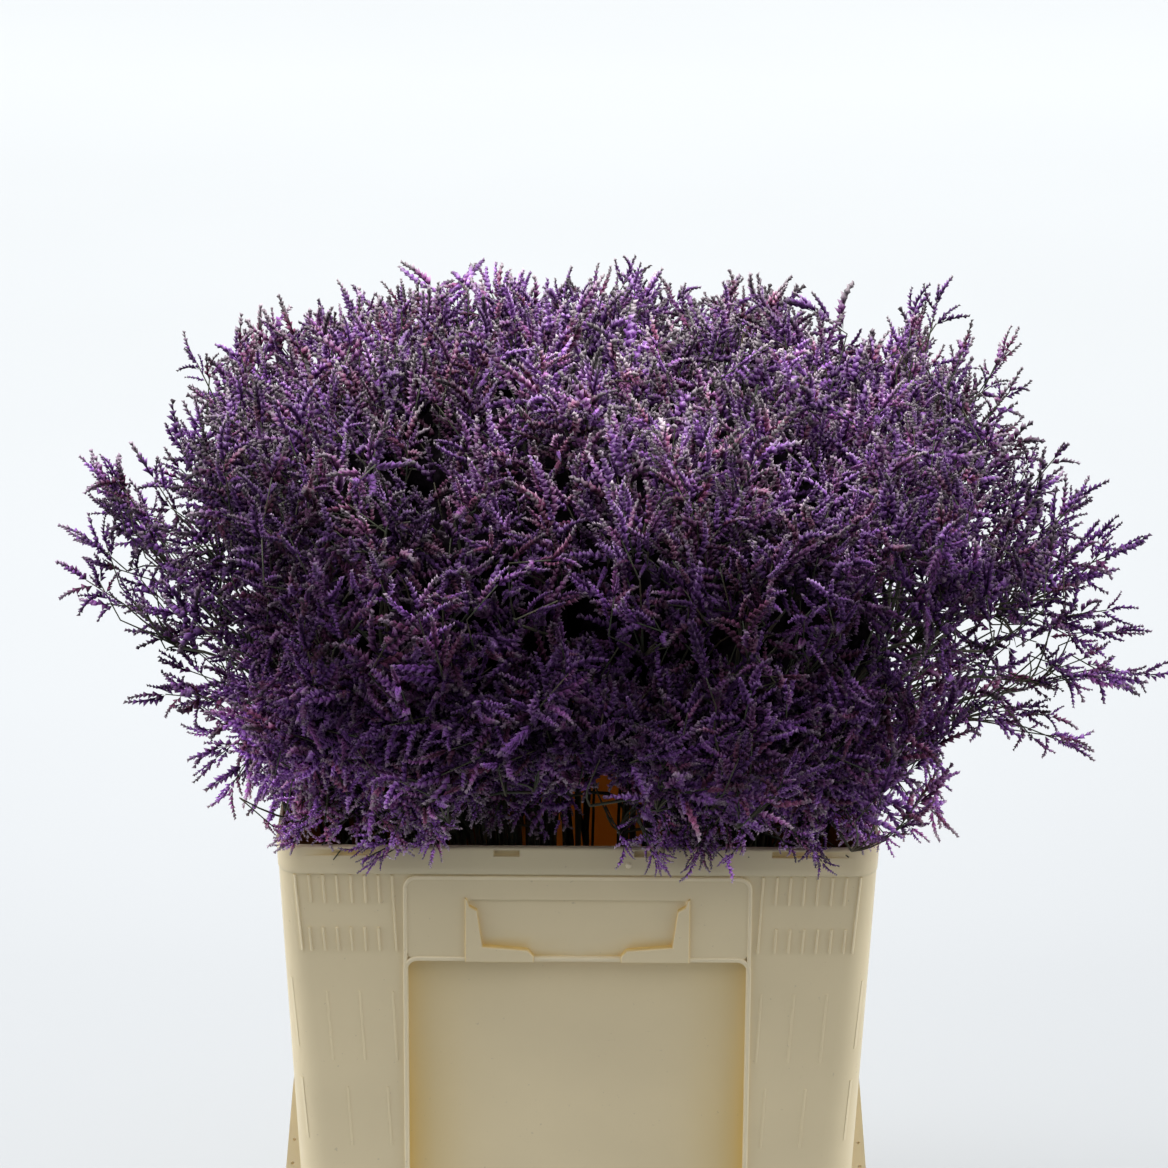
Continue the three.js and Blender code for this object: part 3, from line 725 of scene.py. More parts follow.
def add_core(shape, head):
    points = core_points(head)
    ring = 1 + np.arange(CORE_SECTORS)
    outer = ring + (CORE_RINGS - 1) * CORE_SECTORS
    rings = 1 + net(CORE_RINGS, CORE_SECTORS)[:, ::-1]
    shape.add(points, [*cap(ring, 0), *rings, *cap(outer[::-1], len(points) - 1)], finish=1)


# Node materials

class Nodes:
    """The node tree of a material or a world, with short ways to add what it needs."""

    def __init__(self, owner, output):
        owner.use_nodes = True
        self.tree = owner.node_tree
        self.tree.nodes.clear()
        self.output = self.add(output)

    def put(self, socket, value):
        """Links what another node gives to a socket, or sets a plain value on it."""
        if isinstance(value, bpy.types.NodeSocket):
            self.tree.links.new(value, socket)
        elif socket.type == "RGBA":
            socket.default_value = (*value, 1)
        else:
            socket.default_value = value

    def add(self, kind, inputs=None, **settings):
        made = self.tree.nodes.new("ShaderNode" + kind)
        for key, value in settings.items():
            setattr(made, key, value)
        for key, value in (inputs or {}).items():
            self.put(made.inputs[key], value)
        return made

    def ramp(self, factor, stops):
        made = self.add("ValToRGB", {"Fac": factor})
        elements = made.color_ramp.elements
        elements.remove(elements[-1])
        elements[0].position = stops[0][0]
        for place, _ in stops[1:]:
            elements.new(place)
        for element, (_, colour) in zip(elements, stops):
            element.color = (*colour, 1)
        return made.outputs[0]

    def mix(self, factor, a, b, blend="MIX"):
        return self.add("Mix", {0: factor, 6: a, 7: b}, data_type="RGBA", blend_type=blend).outputs[2]

    def times(self, *colours):
        return reduce(lambda a, b: self.mix(1.0, a, b, "MULTIPLY"), colours)

    def maths(self, operation, a, b=0.5):
        return self.add("Math", {0: a, 1: b}, operation=operation).outputs[0]

    def product(self, *values):
        return reduce(lambda a, b: self.maths("MULTIPLY", a, b), values)

    def span(self, value, low=0.0, high=1.0, start=0.0, end=1.0, soft=False):
        """A value's place between low and high, as one between start and end."""
        inputs = {"Value": value, "From Min": low, "From Max": high, "To Min": start, "To Max": end}
        kind = "SMOOTHSTEP" if soft else "LINEAR"
        return self.add("MapRange", inputs, interpolation_type=kind).outputs[0]

    def place(self):
        return self.add("TexCoord").outputs["Object"]

    def along(self, axis):
        return self.add("SeparateXYZ", {"Vector": self.place()}).outputs[axis]

    def noise(self, scale, detail=3.0):
        """Noise over the object's own coordinates, with scale in features per metre."""
        inputs = {"Vector": self.place(), "Scale": scale, "Detail": detail}
        return self.add("TexNoise", inputs).outputs["Fac"]

    def tones(self):
        """The four tones of a vertex: growth, share along the spike, own tint and cluster tint."""
        made = self.add("Attribute", attribute_name="tone")
        split = self.add("SeparateColor", {"Color": made.outputs["Color"]})
        return *split.outputs, made.outputs["Alpha"]

    def surface(self, colour, roughness, specular=0.5, bump=None):
        inputs = {"Base Color": colour, "Roughness": roughness, "Specular IOR Level": specular}
        if bump:
            height, strength, distance = bump
            lift = self.add("Bump", {"Height": height, "Strength": strength, "Distance": distance})
            inputs["Normal"] = lift.outputs[0]
        return self.add("BsdfPrincipled", inputs).outputs[0]

    def finish(self, shader):
        self.put(self.output.inputs[0], shader)


def new_material(name):
    material = bpy.data.materials.new(name)
    return material, Nodes(material, "OutputMaterial")


# Petal colours from a floret's foot to its tip, for violet, faded mauve and greyed sage spikes
BUD_GREEN = (0.045, 0.042, 0.032)
VIOLET = [
    (0.0, BUD_GREEN), (0.3, (0.096, 0.036, 0.148)), (0.65, (0.214, 0.086, 0.315)),
    (1.0, (0.370, 0.268, 0.422)),
]
MAUVE = [
    (0.0, BUD_GREEN), (0.3, (0.096, 0.033, 0.054)), (0.65, (0.220, 0.066, 0.140)),
    (1.0, (0.370, 0.250, 0.315)),
]
SAGE = [(0.0, (0.05, 0.055, 0.035)), (0.55, (0.17, 0.14, 0.16)), (1.0, (0.35, 0.29, 0.33))]
# Painted light and shade by height in metres: lighter at the rim, painted shade low in the mass, and
# painted light at the top, which is lightest
HEIGHT_LEVELS = [
    (0.43, (2.1, 2.1, 2.1)), (0.475, (1.45, 1.42, 1.45)), (0.515, (0.64, 0.57, 0.67)),
    (0.62, (0.55, 0.485, 0.58)), (0.70, (0.93, 0.95, 0.92)), (0.76, (1.24, 1.32, 1.20)),
]
# Places in metres where painted light makes the flowers lighter, and painted shade darker, than the rest:
# middle, reach and factor
LIGHT_PLACES = [
    ((-0.18, -0.13, 0.67), 0.17, 0.58), ((-0.08, -0.05, 0.74), 0.10, 0.75),
    ((0.06, -0.05, 0.74), 0.13, 1.35), ((0.19, -0.05, 0.71), 0.13, 1.35),
    ((-0.19, -0.15, 0.51), 0.12, 1.55), ((0.07, -0.22, 0.60), 0.12, 0.62),
    ((-0.09, -0.18, 0.53), 0.07, 0.68), ((0.20, -0.14, 0.47), 0.10, 1.3),
    ((0.12, -0.15, 0.54), 0.07, 0.65), ((-0.34, 0.0, 0.61), 0.14, 2.2),
    ((0.36, 0.0, 0.59), 0.15, 1.6),
]


def brightness(n, own, cluster):
    """A factor that differs by spike and by cluster, with painted light and shade in patches, at the light
    places and by height.
    """
    spike = n.span(n.maths("FRACT", n.product(own, 7.3)), start=0.78, end=1.24)
    bunch = n.span(n.maths("FRACT", n.product(cluster, 5.7)), start=0.8, end=1.2)
    # Painted light and shade in patches about a bunch's size
    patch = n.span(n.span(n.noise(24, 2), 0.36, 0.64), start=0.45, end=1.52)
    factors = [spike, bunch, patch]
    for middle, reach, gain in LIGHT_PLACES:
        apart = n.add("VectorMath", {0: n.place(), 1: middle}, operation="DISTANCE").outputs["Value"]
        factors.append(n.span(apart, 0.0, reach, gain, 1.0, soft=True))
    return n.times(n.product(*factors), n.ramp(n.along("Z"), HEIGHT_LEVELS))


def flower_material():
    material, n = new_material("statice_flowers")
    growth, share, own, cluster = n.tones()
    violet, mauve, sage = (n.ramp(growth, stops) for stops in (VIOLET, MAUVE, SAGE))
    petals = n.mix(n.span(n.maths("ADD", own, cluster), 0.85, 1.45), violet, mauve)
    tip = n.span(n.maths("ADD", share, n.product(own, 0.35)), 0.92, 1.2)
    petals = n.mix(tip, petals, sage)
    patch = n.span(n.noise(420, 2), 0.3, 0.7)
    shade = n.mix(patch, (0.72, 0.70, 0.74), (1.22, 1.2, 1.25))
    petals = n.times(petals, shade, brightness(n, own, cluster))
    n.finish(n.surface(petals, 0.8, 0.1))
    return material


def twig_material():
    material, n = new_material("statice_twigs")
    green = n.mix(n.tones()[2], (0.030, 0.040, 0.022), (0.075, 0.085, 0.050))
    patch = n.span(n.noise(60, 4), 0.45, 0.7)
    colour = n.mix(patch, green, (0.085, 0.060, 0.038))
    n.finish(n.surface(colour, 0.7, bump=(n.noise(900, 3), 0.4, 0.0004)))
    return material


def shade_core_material():
    material, n = new_material("statice_shade_core")
    # Near-black painted shade for the depths of the mass, seen through its hollows
    patch = n.span(n.noise(180, 5), 0.35, 0.7)
    colour = n.mix(patch, (0.003, 0.0025, 0.003), (0.014, 0.010, 0.014))
    n.finish(n.surface(colour, 1.0, 0.0))
    return material


# The ochre is painted shade in the corners of the relief, and it also tints the light that shows through
# the outer wall
CREAM, OCHRE = (0.880, 0.750, 0.490), (0.840, 0.575, 0.140)
# The inside's orange base colour is a painted glow of the light that shows through the cream wall, and the
# amber tints that light
ORANGE, AMBER = (0.90, 0.44, 0.14), (1.0, 0.42, 0.09)
# The light tint is a painted highlight for raised edges, the grey one painted shadow of the flowers over
# the rim, and the dark one real specks
PAINTED_HIGHLIGHT, OVERHANG_SHADOW, SPECK = (0.95, 0.84, 0.60), (0.56, 0.50, 0.34), (0.30, 0.24, 0.16)
# Share of light that shows through the wall, seen from outside and from inside
GLOW_OUTSIDE, GLOW_INSIDE = 0.06, 0.6
# Shade of the inside by place across in metres from 0.5 to the left: light only under the opening
INSIDE_LEVELS = [(0.28, 0.5), (0.32, 0.12), (0.45, 0.12), (0.475, 1.0), (0.535, 1.0), (0.56, 0.12)]


def plastic_material(name, colour, deep, glow, levels=None):
    """Moulded plastic, whose tones are: painted ochre shade in a corner, a painted highlight on raised
    edges, and painted shadow of the flowers over the rim.
    """
    material, n = new_material(name)
    corner, highlight, overhang_shadow, _ = n.tones()
    cloud = n.span(n.noise(9, 4), 0.3, 0.7)
    base = n.mix(cloud, tuple(0.95 * c for c in colour), tuple(1.04 * c for c in colour))
    specks = n.product(n.span(n.noise(300, 2), 0.72, 0.77), 0.25)
    # Mixes in painted shade in corners, a painted highlight, painted shadow of the flowers, and real specks
    for share, tint in ((corner, deep), (highlight, PAINTED_HIGHLIGHT), (overhang_shadow, OVERHANG_SHADOW), (specks, SPECK)):
        base = n.mix(share, base, tint)
    lit = deep
    if levels:
        shade = n.ramp(n.maths("ADD", n.along("X"), 0.5), [(x, (level,) * 3) for x, level in levels])
        base, lit = n.times(base, shade), n.times(deep, shade)
    rough = n.span(n.span(n.noise(40, 4), 0.2, 0.8), start=0.30, end=0.44)
    shader = n.surface(base, rough, bump=(n.noise(1500, 2), 0.12, 0.0003))
    through = n.add("BsdfTranslucent", {"Color": lit}).outputs[0]
    n.finish(n.add("MixShader", {0: glow, 1: shader, 2: through}).outputs[0])
    return material


# Bucket: places on its front are given across from the middle and down from the rim

PANEL_HALF, PANEL_TOP, PANEL_SHELF, PANEL_BOTTOM, PANEL_CORNER = 116, 21, 84, 322, 8
BEAD_WIDTH, BEAD_PROUD = 3.2, 2.6
PANEL_INNER = PANEL_HALF - BEAD_WIDTH / 2
FIELD_PROUD = BEAD_PROUD - 1
RECESS_DEPTH = 8
POCKET_HALF, POCKET_TOP, POCKET_BOTTOM, POCKET_DEPTH = 72, 39, 82, 2
BRACKET = [
    (74.6, 37), (73, 38), (71.6, 43), (66.6, 46), (63, 72.5),
    (33, 75), (29, 79.5), (29, 84), (74.6, 84),
]
BRACKET_PROUD = BEAD_PROUD + 1.4
NOTCH_PLACES, NOTCH_HALF, NOTCH_TOP, NOTCH_BOTTOM, NOTCH_DEPTH = (-141, -47, 46, 137), 8.5, 2, 6, 3
LABEL_RIBS, LABEL_FIRST, LABEL_PITCH = 8, 123, 9.2
# Upper and lower ribs of a label field, and the ones beside it, which run on
LABEL_UPPER, LABEL_LOWER, LABEL_WHOLE = (21.5, 42), (60, 77.5), (21.5, 77.5)
# Faint lower ribs: place across, top and bottom
FAINT_RIBS = [
    (123, 108, 160), (145, 108, 160), (167, 108, 160), (191, 101, 152),
    (127, 180, 225), (154, 180, 225), (185, 176, 222), (130, 247, 298), (158, 247, 298),
]
RIB_LEAN = 1.6 * DRAFT
# Width, height and painted highlight share of a label rib and of a faint one
LABEL_RIB, FAINT_RIB = (1.6, 1.2, 0.35), (1.8, 0.45, 0.15)
# How strong the painted highlight on the beads is
BEAD_HIGHLIGHT = 0.6
BUTTON_PLACE, BUTTON_RADIUS = (33.6, 12), 2.2
FIN_PLACE, FIN_THICK = 92, 5
FIN_OUTLINE = [(172, 4), (200, 4), (201, 110), (199, 168), (193.5, 229), (190, 262), (184, 262)]
FIN_HOLES, FIN_HOLE_RADIUS = [(193, 189.5), (194.5, 171.5)], 1.3
# Offsets that follow a sharp edge closely, an eased edge, and a notch's edge
SHARP = (-0.9, -0.45, 0, 0.45, 0.9)
EASED = (-8, -6, -4.5, -3, -2, *SHARP, 2, 3, 4.5, 6, 8)
NOTCH_EDGE = (-0.35, 0, 0.35)
# Where the wall's straight parts start to narrow toward the corners, and their outermost column
FIXED_HALF, LAST_COLUMN = 124.0, 185.0


def wall_at(z, margin):
    """Half sizes and corner radius of the outer wall, grown by a margin."""
    below = RIM_HEIGHT - z
    corner = CORNER_TOP + (CORNER_FOOT - CORNER_TOP) * below / RIM_HEIGHT
    across = np.where(margin > 0, margin * SIDE_PROUD / BAND_PROUD, margin)
    half_x = HALF_WIDTH - SIDE_PROUD - SIDE_DRAFT * below + across
    half_y = HALF_DEPTH - BAND_PROUD - DRAFT * below + margin
    return half_x, half_y, np.maximum(corner + margin, 4)


def box_mask(x, v, half, top, bottom, corner, soft):
    """1 inside a rounded rectangle on the front wall, 0 outside, with a soft edge."""
    dx = np.abs(x) - half + corner
    dv = np.abs(v - (top + bottom) / 2) - (bottom - top) / 2 + corner
    outside = np.hypot(np.maximum(dx, 0), np.maximum(dv, 0)) + np.minimum(np.maximum(dx, dv), 0)
    return smooth(soft, -soft, outside - corner)


def relief(x, v):
    """How far the front wall stands out at x across and v down."""
    field = box_mask(x, v, PANEL_INNER, PANEL_TOP + 1.5, PANEL_SHELF, PANEL_CORNER, 0.6)
    sunk = box_mask(x, v, PANEL_INNER, PANEL_SHELF - 1, PANEL_BOTTOM - 1.5, PANEL_CORNER, 0.9)
    pocket = box_mask(x, v, POCKET_HALF, POCKET_TOP, POCKET_BOTTOM, 2, 0.5)
    height = (FIELD_PROUD * field - POCKET_DEPTH * pocket) * (1 - sunk) - RECESS_DEPTH * sunk
    cuts = [box_mask(x - at, v, NOTCH_HALF, NOTCH_TOP, NOTCH_BOTTOM, 0.5, 0.35) for at in NOTCH_PLACES]
    return height - NOTCH_DEPTH * sum(cuts)


def corner_shade_tone(x, v):
    """Painted ochre shade in the corners of the recess and the pocket, in the notches and under the shelf:
    how deep in a corner a place is, for its colour.
    """
    in_recess = (np.abs(x) < PANEL_INNER) & (v > PANEL_SHELF) & (v < PANEL_BOTTOM)
    side = np.exp(-(PANEL_INNER - np.abs(x)) / 20) * (0.8 + 0.5 * smooth(110, 230, v))
    under = 0.12 * np.exp(-(v - PANEL_SHELF) / 16)
    in_pocket = (np.abs(x) < POCKET_HALF) & (v > POCKET_TOP) & (v < POCKET_BOTTOM)
    low = np.exp(-(POCKET_BOTTOM - 6 - v) / 3.5) * smooth(25, 45, np.abs(x))
    notch = np.min([np.abs(x - at) for at in NOTCH_PLACES], axis=0) < NOTCH_HALF
    notch = notch & (v > NOTCH_TOP - 0.2) & (v < NOTCH_BOTTOM + 0.2)
    deep = in_recess * (0.7 * side + under) + in_pocket * 0.95 * low + 0.6 * notch
    return np.clip(deep, 0, 1)


def overhang_shadow_tone(x, v):
    """How much painted shadow the overhanging flowers cast on the front: most in the middle of the band,
    and faintly on the panel below it.
    """
    return 0.6 * smooth(190, 90, np.abs(x)) * (smooth(23, 19, v) + 0.3 * smooth(60, 20, v) * (v > 21))


def around(edges, offsets):
    return sorted({round(e + o, 3) for e in edges for o in offsets})


def front_places():
    """Places across the front wall that follow its edges closely."""
    places = around([-PANEL_INNER, PANEL_INNER], EASED)
    places += around([-POCKET_HALF, POCKET_HALF], (-1.5, *SHARP[1:4], 1.5))
    for at in NOTCH_PLACES:
        places += around([at - NOTCH_HALF, at + NOTCH_HALF], NOTCH_EDGE)
    return np.array(sorted({*places, -60, -30, 0, 30, 60, -95, 95}))


def wall_columns():
    """For each column round the wall: share of the straight half, own x, side and normal."""
    columns = []
    for x in front_places():
        share = max(0.0, (abs(x) - FIXED_HALF) / (LAST_COLUMN - FIXED_HALF))
        own = x if share == 0 else math.copysign(FIXED_HALF * (1 - share), x)
        columns.append((math.copysign(share, x), own, -1, 0, -1))
    corners = [(1, -1, -90), (1, 1, 0), (-1, 1, 90), (-1, -1, 180)]
    for sx, sy, first in corners:
        for turn in np.radians(first + np.linspace(0, 90, 9)):
            columns.append((sx, 0, sy, math.cos(turn), math.sin(turn)))
        if sx != sy:
            columns += [(sx, 0, s * sx, sx, 0) for s in np.linspace(-0.8, 0.8, 7)]
        elif sx > 0:
            columns += [(share, 0, 1, 0, 1) for share in np.linspace(0.75, -0.75, 7)]
    return np.array(columns)


def wall_rows():
    """Height, margin, relief share and whether inside of each row, up the outside and down the inside."""
    proud, step = BAND_PROUD, RIM_HEIGHT - RIM_BAND
    foot = [(0, proud - 1.6), (0.5, proud - 0.6), (1.6, proud), (FOOT_HEIGHT - 1.2, proud)]
    foot += [(FOOT_HEIGHT - 0.3, proud - 0.6), (FOOT_HEIGHT + 0.2, 0.8), (FOOT_HEIGHT + 1.4, 0)]
    levels = around([PANEL_BOTTOM - 1.5, PANEL_SHELF - 1], EASED)
    levels += around([PANEL_TOP + 1.5], (0, 0.6, 1.2, *EASED[-5:]))
    levels += around([POCKET_TOP, POCKET_BOTTOM - 6], (-1.2, -0.5, 0, 0.5, 1.2))
    levels += [50, 60, 66, 100, 115, 130, 150, 175, 200, 225, 250, 275, 295, 345, 370, 395]
    walls = [(RIM_HEIGHT - v, 0) for v in sorted(set(levels), reverse=True)]
    ease = [(step - 0.8, 0.1), (step - 0.1, 0.9), (step + 0.3, proud - 0.7), (step + 1.2, proud)]
    cuts = sorted([14, 9, *around([NOTCH_BOTTOM, NOTCH_TOP], NOTCH_EDGE)], reverse=True)
    lip = [(0.9, proud - 0.1), (0.3, proud - 0.5), (0, proud - 1.3)]
    outside = foot + walls + ease + [(RIM_HEIGHT - v, m) for v, m in [(v, proud) for v in cuts] + lip]
    lip_inside = [(0, 1.3 - WALL), (0.3, 0.5 - WALL), (0.9, -WALL)]
    inner = (24, 60, 79, 82, 87, 120, 180, 240, 300, 318, 323, 328, 370, 400)
    rows = [(z, m, 1, 0) for z, m in outside] + [(RIM_HEIGHT - v, m, 0, 1) for v, m in lip_inside]
    rows += [(RIM_HEIGHT - v, -WALL, 1, 1) for v in inner]
    rows += [(WALL + 8, -WALL, 0, 1), (WALL + 2, -WALL - 2, 0, 1), (WALL, -WALL - 8, 0, 1)]
    return np.array(rows, float)


def bucket_wall(shape):
    """The whole wall as one closed net: outside, rim, inside, floor and underside."""
    z, margin, share, within = wall_rows().T[:, :, None]
    sx, own, sy, nx, ny = wall_columns().T[:, None, :]
    half_x, half_y, corner = wall_at(z, margin)
    x = sx * (half_x - corner) + own + nx * corner
    y = sy * (half_y - corner) + ny * corner
    z = z + 0 * x
    v = RIM_HEIGHT - z
    front = (ny < -0.999) & (np.abs(nx) < 0.01)
    lift = relief(x, v)
    lift = np.where(within > 0, np.minimum(lift, 0) * (np.abs(v - 200) < 125), lift)
    y = y - np.where(front, lift * share, 0)
    painted = front & (within == 0)
    tones = np.zeros((x.size + 2, 4))
    # Painted ochre shade in the corners of the front's relief
    tones[:-2, 0] = np.where(painted, corner_shade_tone(x, v), 0).ravel()
    # Painted shadow of the flowers on the band and the upper panel
    tones[:-2, 2] = np.where(painted, overhang_shadow_tone(x, v), 0).ravel()
    points = [*np.stack([x, y, z], axis=2).reshape(-1, 3), (0, 0, 0), (0, 0, WALL)]
    rings = np.arange(x.size).reshape(x.shape)
    faces = [net(*x.shape), cap(rings[0][::-1], x.size), cap(rings[-1], x.size + 1)]
    finish = [*(within[:-1] * within[1:]).repeat(2 * x.shape[1]), *np.repeat([0, 1], x.shape[1])]
    shape.add(points, np.concatenate(faces), tones, finish)


def on_front(points):
    """From places on the front wall (x across, y down, z out) to the bucket's frame."""
    x, down, out = xyz(np.asarray(points, float))
    half, _, corner = wall_at(RIM_HEIGHT - down, 0)
    past = np.clip(np.abs(x) - half + corner, 0, 0.95 * corner)
    out = out - corner + np.sqrt(corner**2 - past**2)
    tilt = math.atan(DRAFT)
    y = BAND_PROUD - HALF_DEPTH + down * math.sin(tilt) - out * math.cos(tilt)
    z = RIM_HEIGHT - down * math.cos(tilt) - out * math.sin(tilt)
    return np.stack([x, y, z], axis=1)


def leftward(line, closed, least):
    """The way to the left at each point of a line, longer at corners, so that both sides move alike."""
    ahead = np.roll(line, -1, axis=0) - line
    behind = line - np.roll(line, 1, axis=0)
    if not closed:
        ahead[-1], behind[0] = behind[-1], ahead[0]
    quarter = np.array([[0, 1], [-1, 0]])
    left = unit((unit(ahead) + unit(behind)) @ quarter)
    shrink = np.sum(left * (unit(ahead) @ quarter), axis=1)
    return left / np.maximum(shrink, least)[:, None]


def bar(shape, line, width, low, high, closed=False, highlight=BEAD_HIGHLIGHT):
    """A rounded bar along a line of (x, down) places on the front wall."""
    line = np.asarray(line, float)
    half, ease = width / 2, high - 0.225 * width
    flank = [(-half, low), (-half, ease), (-0.55 * half, high)]
    profile = flank + [(-s, h) for s, h in reversed(flank)]
    places = zip(line, leftward(line, closed, 0.4))
    points = [(*(place + out * s), h) for place, out in places for s, h in profile]
    sides = len(profile)
    faces = [*net(len(line), sides, closed)]
    if not closed:
        end = (len(line) - 1) * sides
        for k in range(1, sides - 1):
            faces += [(0, k + 1, k), (end, end + k, end + k + 1)]
    # The whole bar gets a painted highlight by its given share
    shape.add(on_front(points), faces, tones=(0, highlight, 0, 0))


def arc(cx, cy, radius, first, last, steps=6):
    turns = np.radians(np.linspace(first, last, steps + 1))
    return [(cx + radius * math.cos(t), cy + radius * math.sin(t)) for t in turns]


def filled(loops):
    """Triangles that fill an outline, apart from the holes that follow it."""
    return tessellate_polygon([[Vector((*p, 0)) for p in loop] for loop in loops])


def plate(shape, outline, low, high, bevel, highlight=0.0):
    """A plate on the front wall with an eased upper edge, from an outline of flat points, painted with
    ochre shade down its sides and with a painted highlight by the given share.
    """
    outline = np.asarray(outline, float)
    x, y = outline.T
    if np.sum(x * np.roll(y, -1) - np.roll(x, -1) * y) < 0:
        outline = outline[::-1]
    inset = outline + leftward(outline, True, 0.5) * bevel
    n = len(outline)
    rings = [(outline, low), (outline, high - bevel), (inset, high)]
    points = np.concatenate([np.column_stack([ring, np.full(n, h)]) for ring, h in rings])
    caps = np.array(filled([inset]))
    tones = np.zeros((3 * n, 4))
    # Painted ochre shade down the sides, strongest at the foot, and none where the plate has a full
    # highlight
    tones[:, 0] = np.repeat([0.9, 0.55, 0], n) * (1 - highlight)
    tones[:, 1] = highlight
    shape.add(on_front(points), np.concatenate([net(3, n), caps + 2 * n, caps[:, ::-1]]), tones)


def side_fin(shape, side, y):
    """An upright fin on a side wall, with its two small holes."""
    loops = [FIN_OUTLINE, *(arc(*place, FIN_HOLE_RADIUS, 0, 315, 7) for place in FIN_HOLES)]
    flat = [p for loop in loops for p in loop]
    points = [(side * x, y + h, z) for h in (-FIN_THICK / 2, FIN_THICK / 2) for x, z in flat]
    caps = np.array(filled(loops))
    faces = [*caps, *(caps[:, ::-1] + len(flat))]
    first = 0
    for loop in loops:
        ring = first + np.arange(len(loop))
        faces += [*band(ring, ring + len(flat))]
        first += len(loop)
    shape.add(points, faces)


def leaning_rib(shape, x, top, bottom, width, proud, highlight):
    """A thin upright rib that leans in with the bucket's corners."""
    inward = -RIB_LEAN * x * (bottom - top) / HALF_WIDTH
    line = [(x, top), (x + inward / 2, (top + bottom) / 2), (x + inward, bottom)]
    bar(shape, line, width, -1, proud, highlight=highlight)


def label_ribs(shape):
    for side in (-1, 1):
        for i in range(LABEL_RIBS):
            x = side * (LABEL_FIRST + LABEL_PITCH * i)
            for ends in [LABEL_WHOLE] if i in (0, LABEL_RIBS - 1) else [LABEL_UPPER, LABEL_LOWER]:
                leaning_rib(shape, x, *ends, *LABEL_RIB)
        for x, top, bottom in FAINT_RIBS:
            leaning_rib(shape, side * x, top, bottom, *FAINT_RIB)


def rounded(low, high):
    """Corners of the panel's rounded outline: two at the top, then two at the bottom."""
    r, x = PANEL_CORNER, PANEL_INNER - PANEL_CORNER
    upper = arc(-x, low + r, r, 180, 270) + arc(x, low + r, r, -90, 0)
    return upper, arc(x, high - r, r, 0, 90) + arc(-x, high - r, r, 90, 180)


def frame_beads(shape):
    """The bead round the recess, and the one that arches over the card pocket."""
    upper, lower = rounded(PANEL_SHELF - BEAD_WIDTH / 2, PANEL_BOTTOM - BEAD_WIDTH / 2)
    bar(shape, upper + lower, BEAD_WIDTH, -RECESS_DEPTH - 1, BEAD_PROUD, closed=True)
    upper, _ = rounded(PANEL_TOP + BEAD_WIDTH / 2, PANEL_SHELF)
    arch = [(-PANEL_INNER, PANEL_SHELF + 6), *upper, (PANEL_INNER, PANEL_SHELF + 6)]
    bar(shape, arch, BEAD_WIDTH - 0.6, -1, BEAD_PROUD - 0.2)


def bucket():
    shape = Shape()
    bucket_wall(shape)
    frame_beads(shape)
    label_ribs(shape)
    # A small dome on the band, painted fully with the highlight tint
    button = arc(*BUTTON_PLACE, BUTTON_RADIUS, 0, 315, 7)
    plate(shape, button, BAND_PROUD - 0.5, BAND_PROUD + 1.2, 0.9, highlight=1.0)
    for side in (-1, 1):
        plate(shape, [(side * x, down) for x, down in BRACKET], -1.0, BRACKET_PROUD, 0.7)
        side_fin(shape, side, -FIN_PLACE)
        side_fin(shape, side, FIN_PLACE)
    outside = plastic_material("bucket_outside", CREAM, OCHRE, GLOW_OUTSIDE)
    inside = plastic_material("bucket_inside", ORANGE, AMBER, GLOW_INSIDE, INSIDE_LEVELS)
    shape.build("bucket_fine", [outside, inside], "bucket_plastic", "bucket", sharp=38)


# The whole plant

# Faded patches of the mass: place across, height and half size
FADED_PATCHES = [
    (265, 715, 55), (330, 660, 40), (-305, 610, 48), (-225, 700, 50), (-120, 770, 45),
    (30, 745, 45), (115, 735, 50), (190, 745, 35), (-70, 640, 22), (-130, 690, 26), (-85, 455, 26),
]
# The patch where the flowers are more mauve than violet, as the faded ones
MAUVE_PATCH = (-180, 650, 80)


def patch_share(p, x, z, half):
    return bell(np.hypot(p[:, 0] - x, p[:, 2] - z), half)


def grey_share(p):
    """How much greyer the spikes are: in faded patches, at the loose ends and in the fringe."""
    patches = sum(patch_share(p, *patch) for patch in FADED_PATCHES)
    fringe = smooth(486, 440, p[:, 2]) * smooth(-60, -120, p[:, 1])
    share = 0.28 * np.minimum(patches, 1) + 0.14 * side_share(p) + 0.2 * fringe
    return share + rng.normal(0, 0.05, len(p))


def tint_share(p):
    """How far the clusters are from violet to mauve: by wide patch, by bunch and by themselves."""
    x, y, z = xyz(p)
    wide = np.sin(x / 90 + 1.3) * np.sin(z / 75 + y / 110)
    bunches = np.sin(x / BUNCH_REACH + 2) * np.sin(z / BUNCH_REACH + y / 40)
    share = 0.42 + 0.14 * wide + 0.14 * bunches + 0.25 * patch_share(p, *MAUVE_PATCH)
    return np.clip(share + rng.normal(0, 0.17, len(p)), 0, 1)


def all_clusters():
    """Every cluster: tip, way, size, count of spikes, how slim and airy they are, and tint."""
    plans = [cluster_plan(), fringe_plan(), sprig_clusters()]
    tips, ways = (np.concatenate(part) for part in zip(*plans))
    sprigs = slice(-len(plans[2][0]), None)
    sizes = rng.uniform(0.8, 1.15, len(tips))
    counts = rng.integers(6, 9, len(tips))
    loose = side_share(tips)
    loose[sprigs] = 1
    low_front = smooth(480, 440, tips[:, 2]) * smooth(-100, -135, tips[:, 1])
    sizes *= 1 - 0.47 * low_front
    sizes[sprigs] *= 0.85
    counts -= np.round(1.6 * loose).astype(int)
    counts[sprigs] = rng.integers(3, 6, len(tips[sprigs]))
    airy = np.maximum(loose, 0.9 * low_front)
    return SimpleNamespace(
        tips=tips, ways=ways, sizes=sizes, counts=counts, slims=1 - 0.12 * loose, airy=airy,
        tints=tint_share(tips),
    )


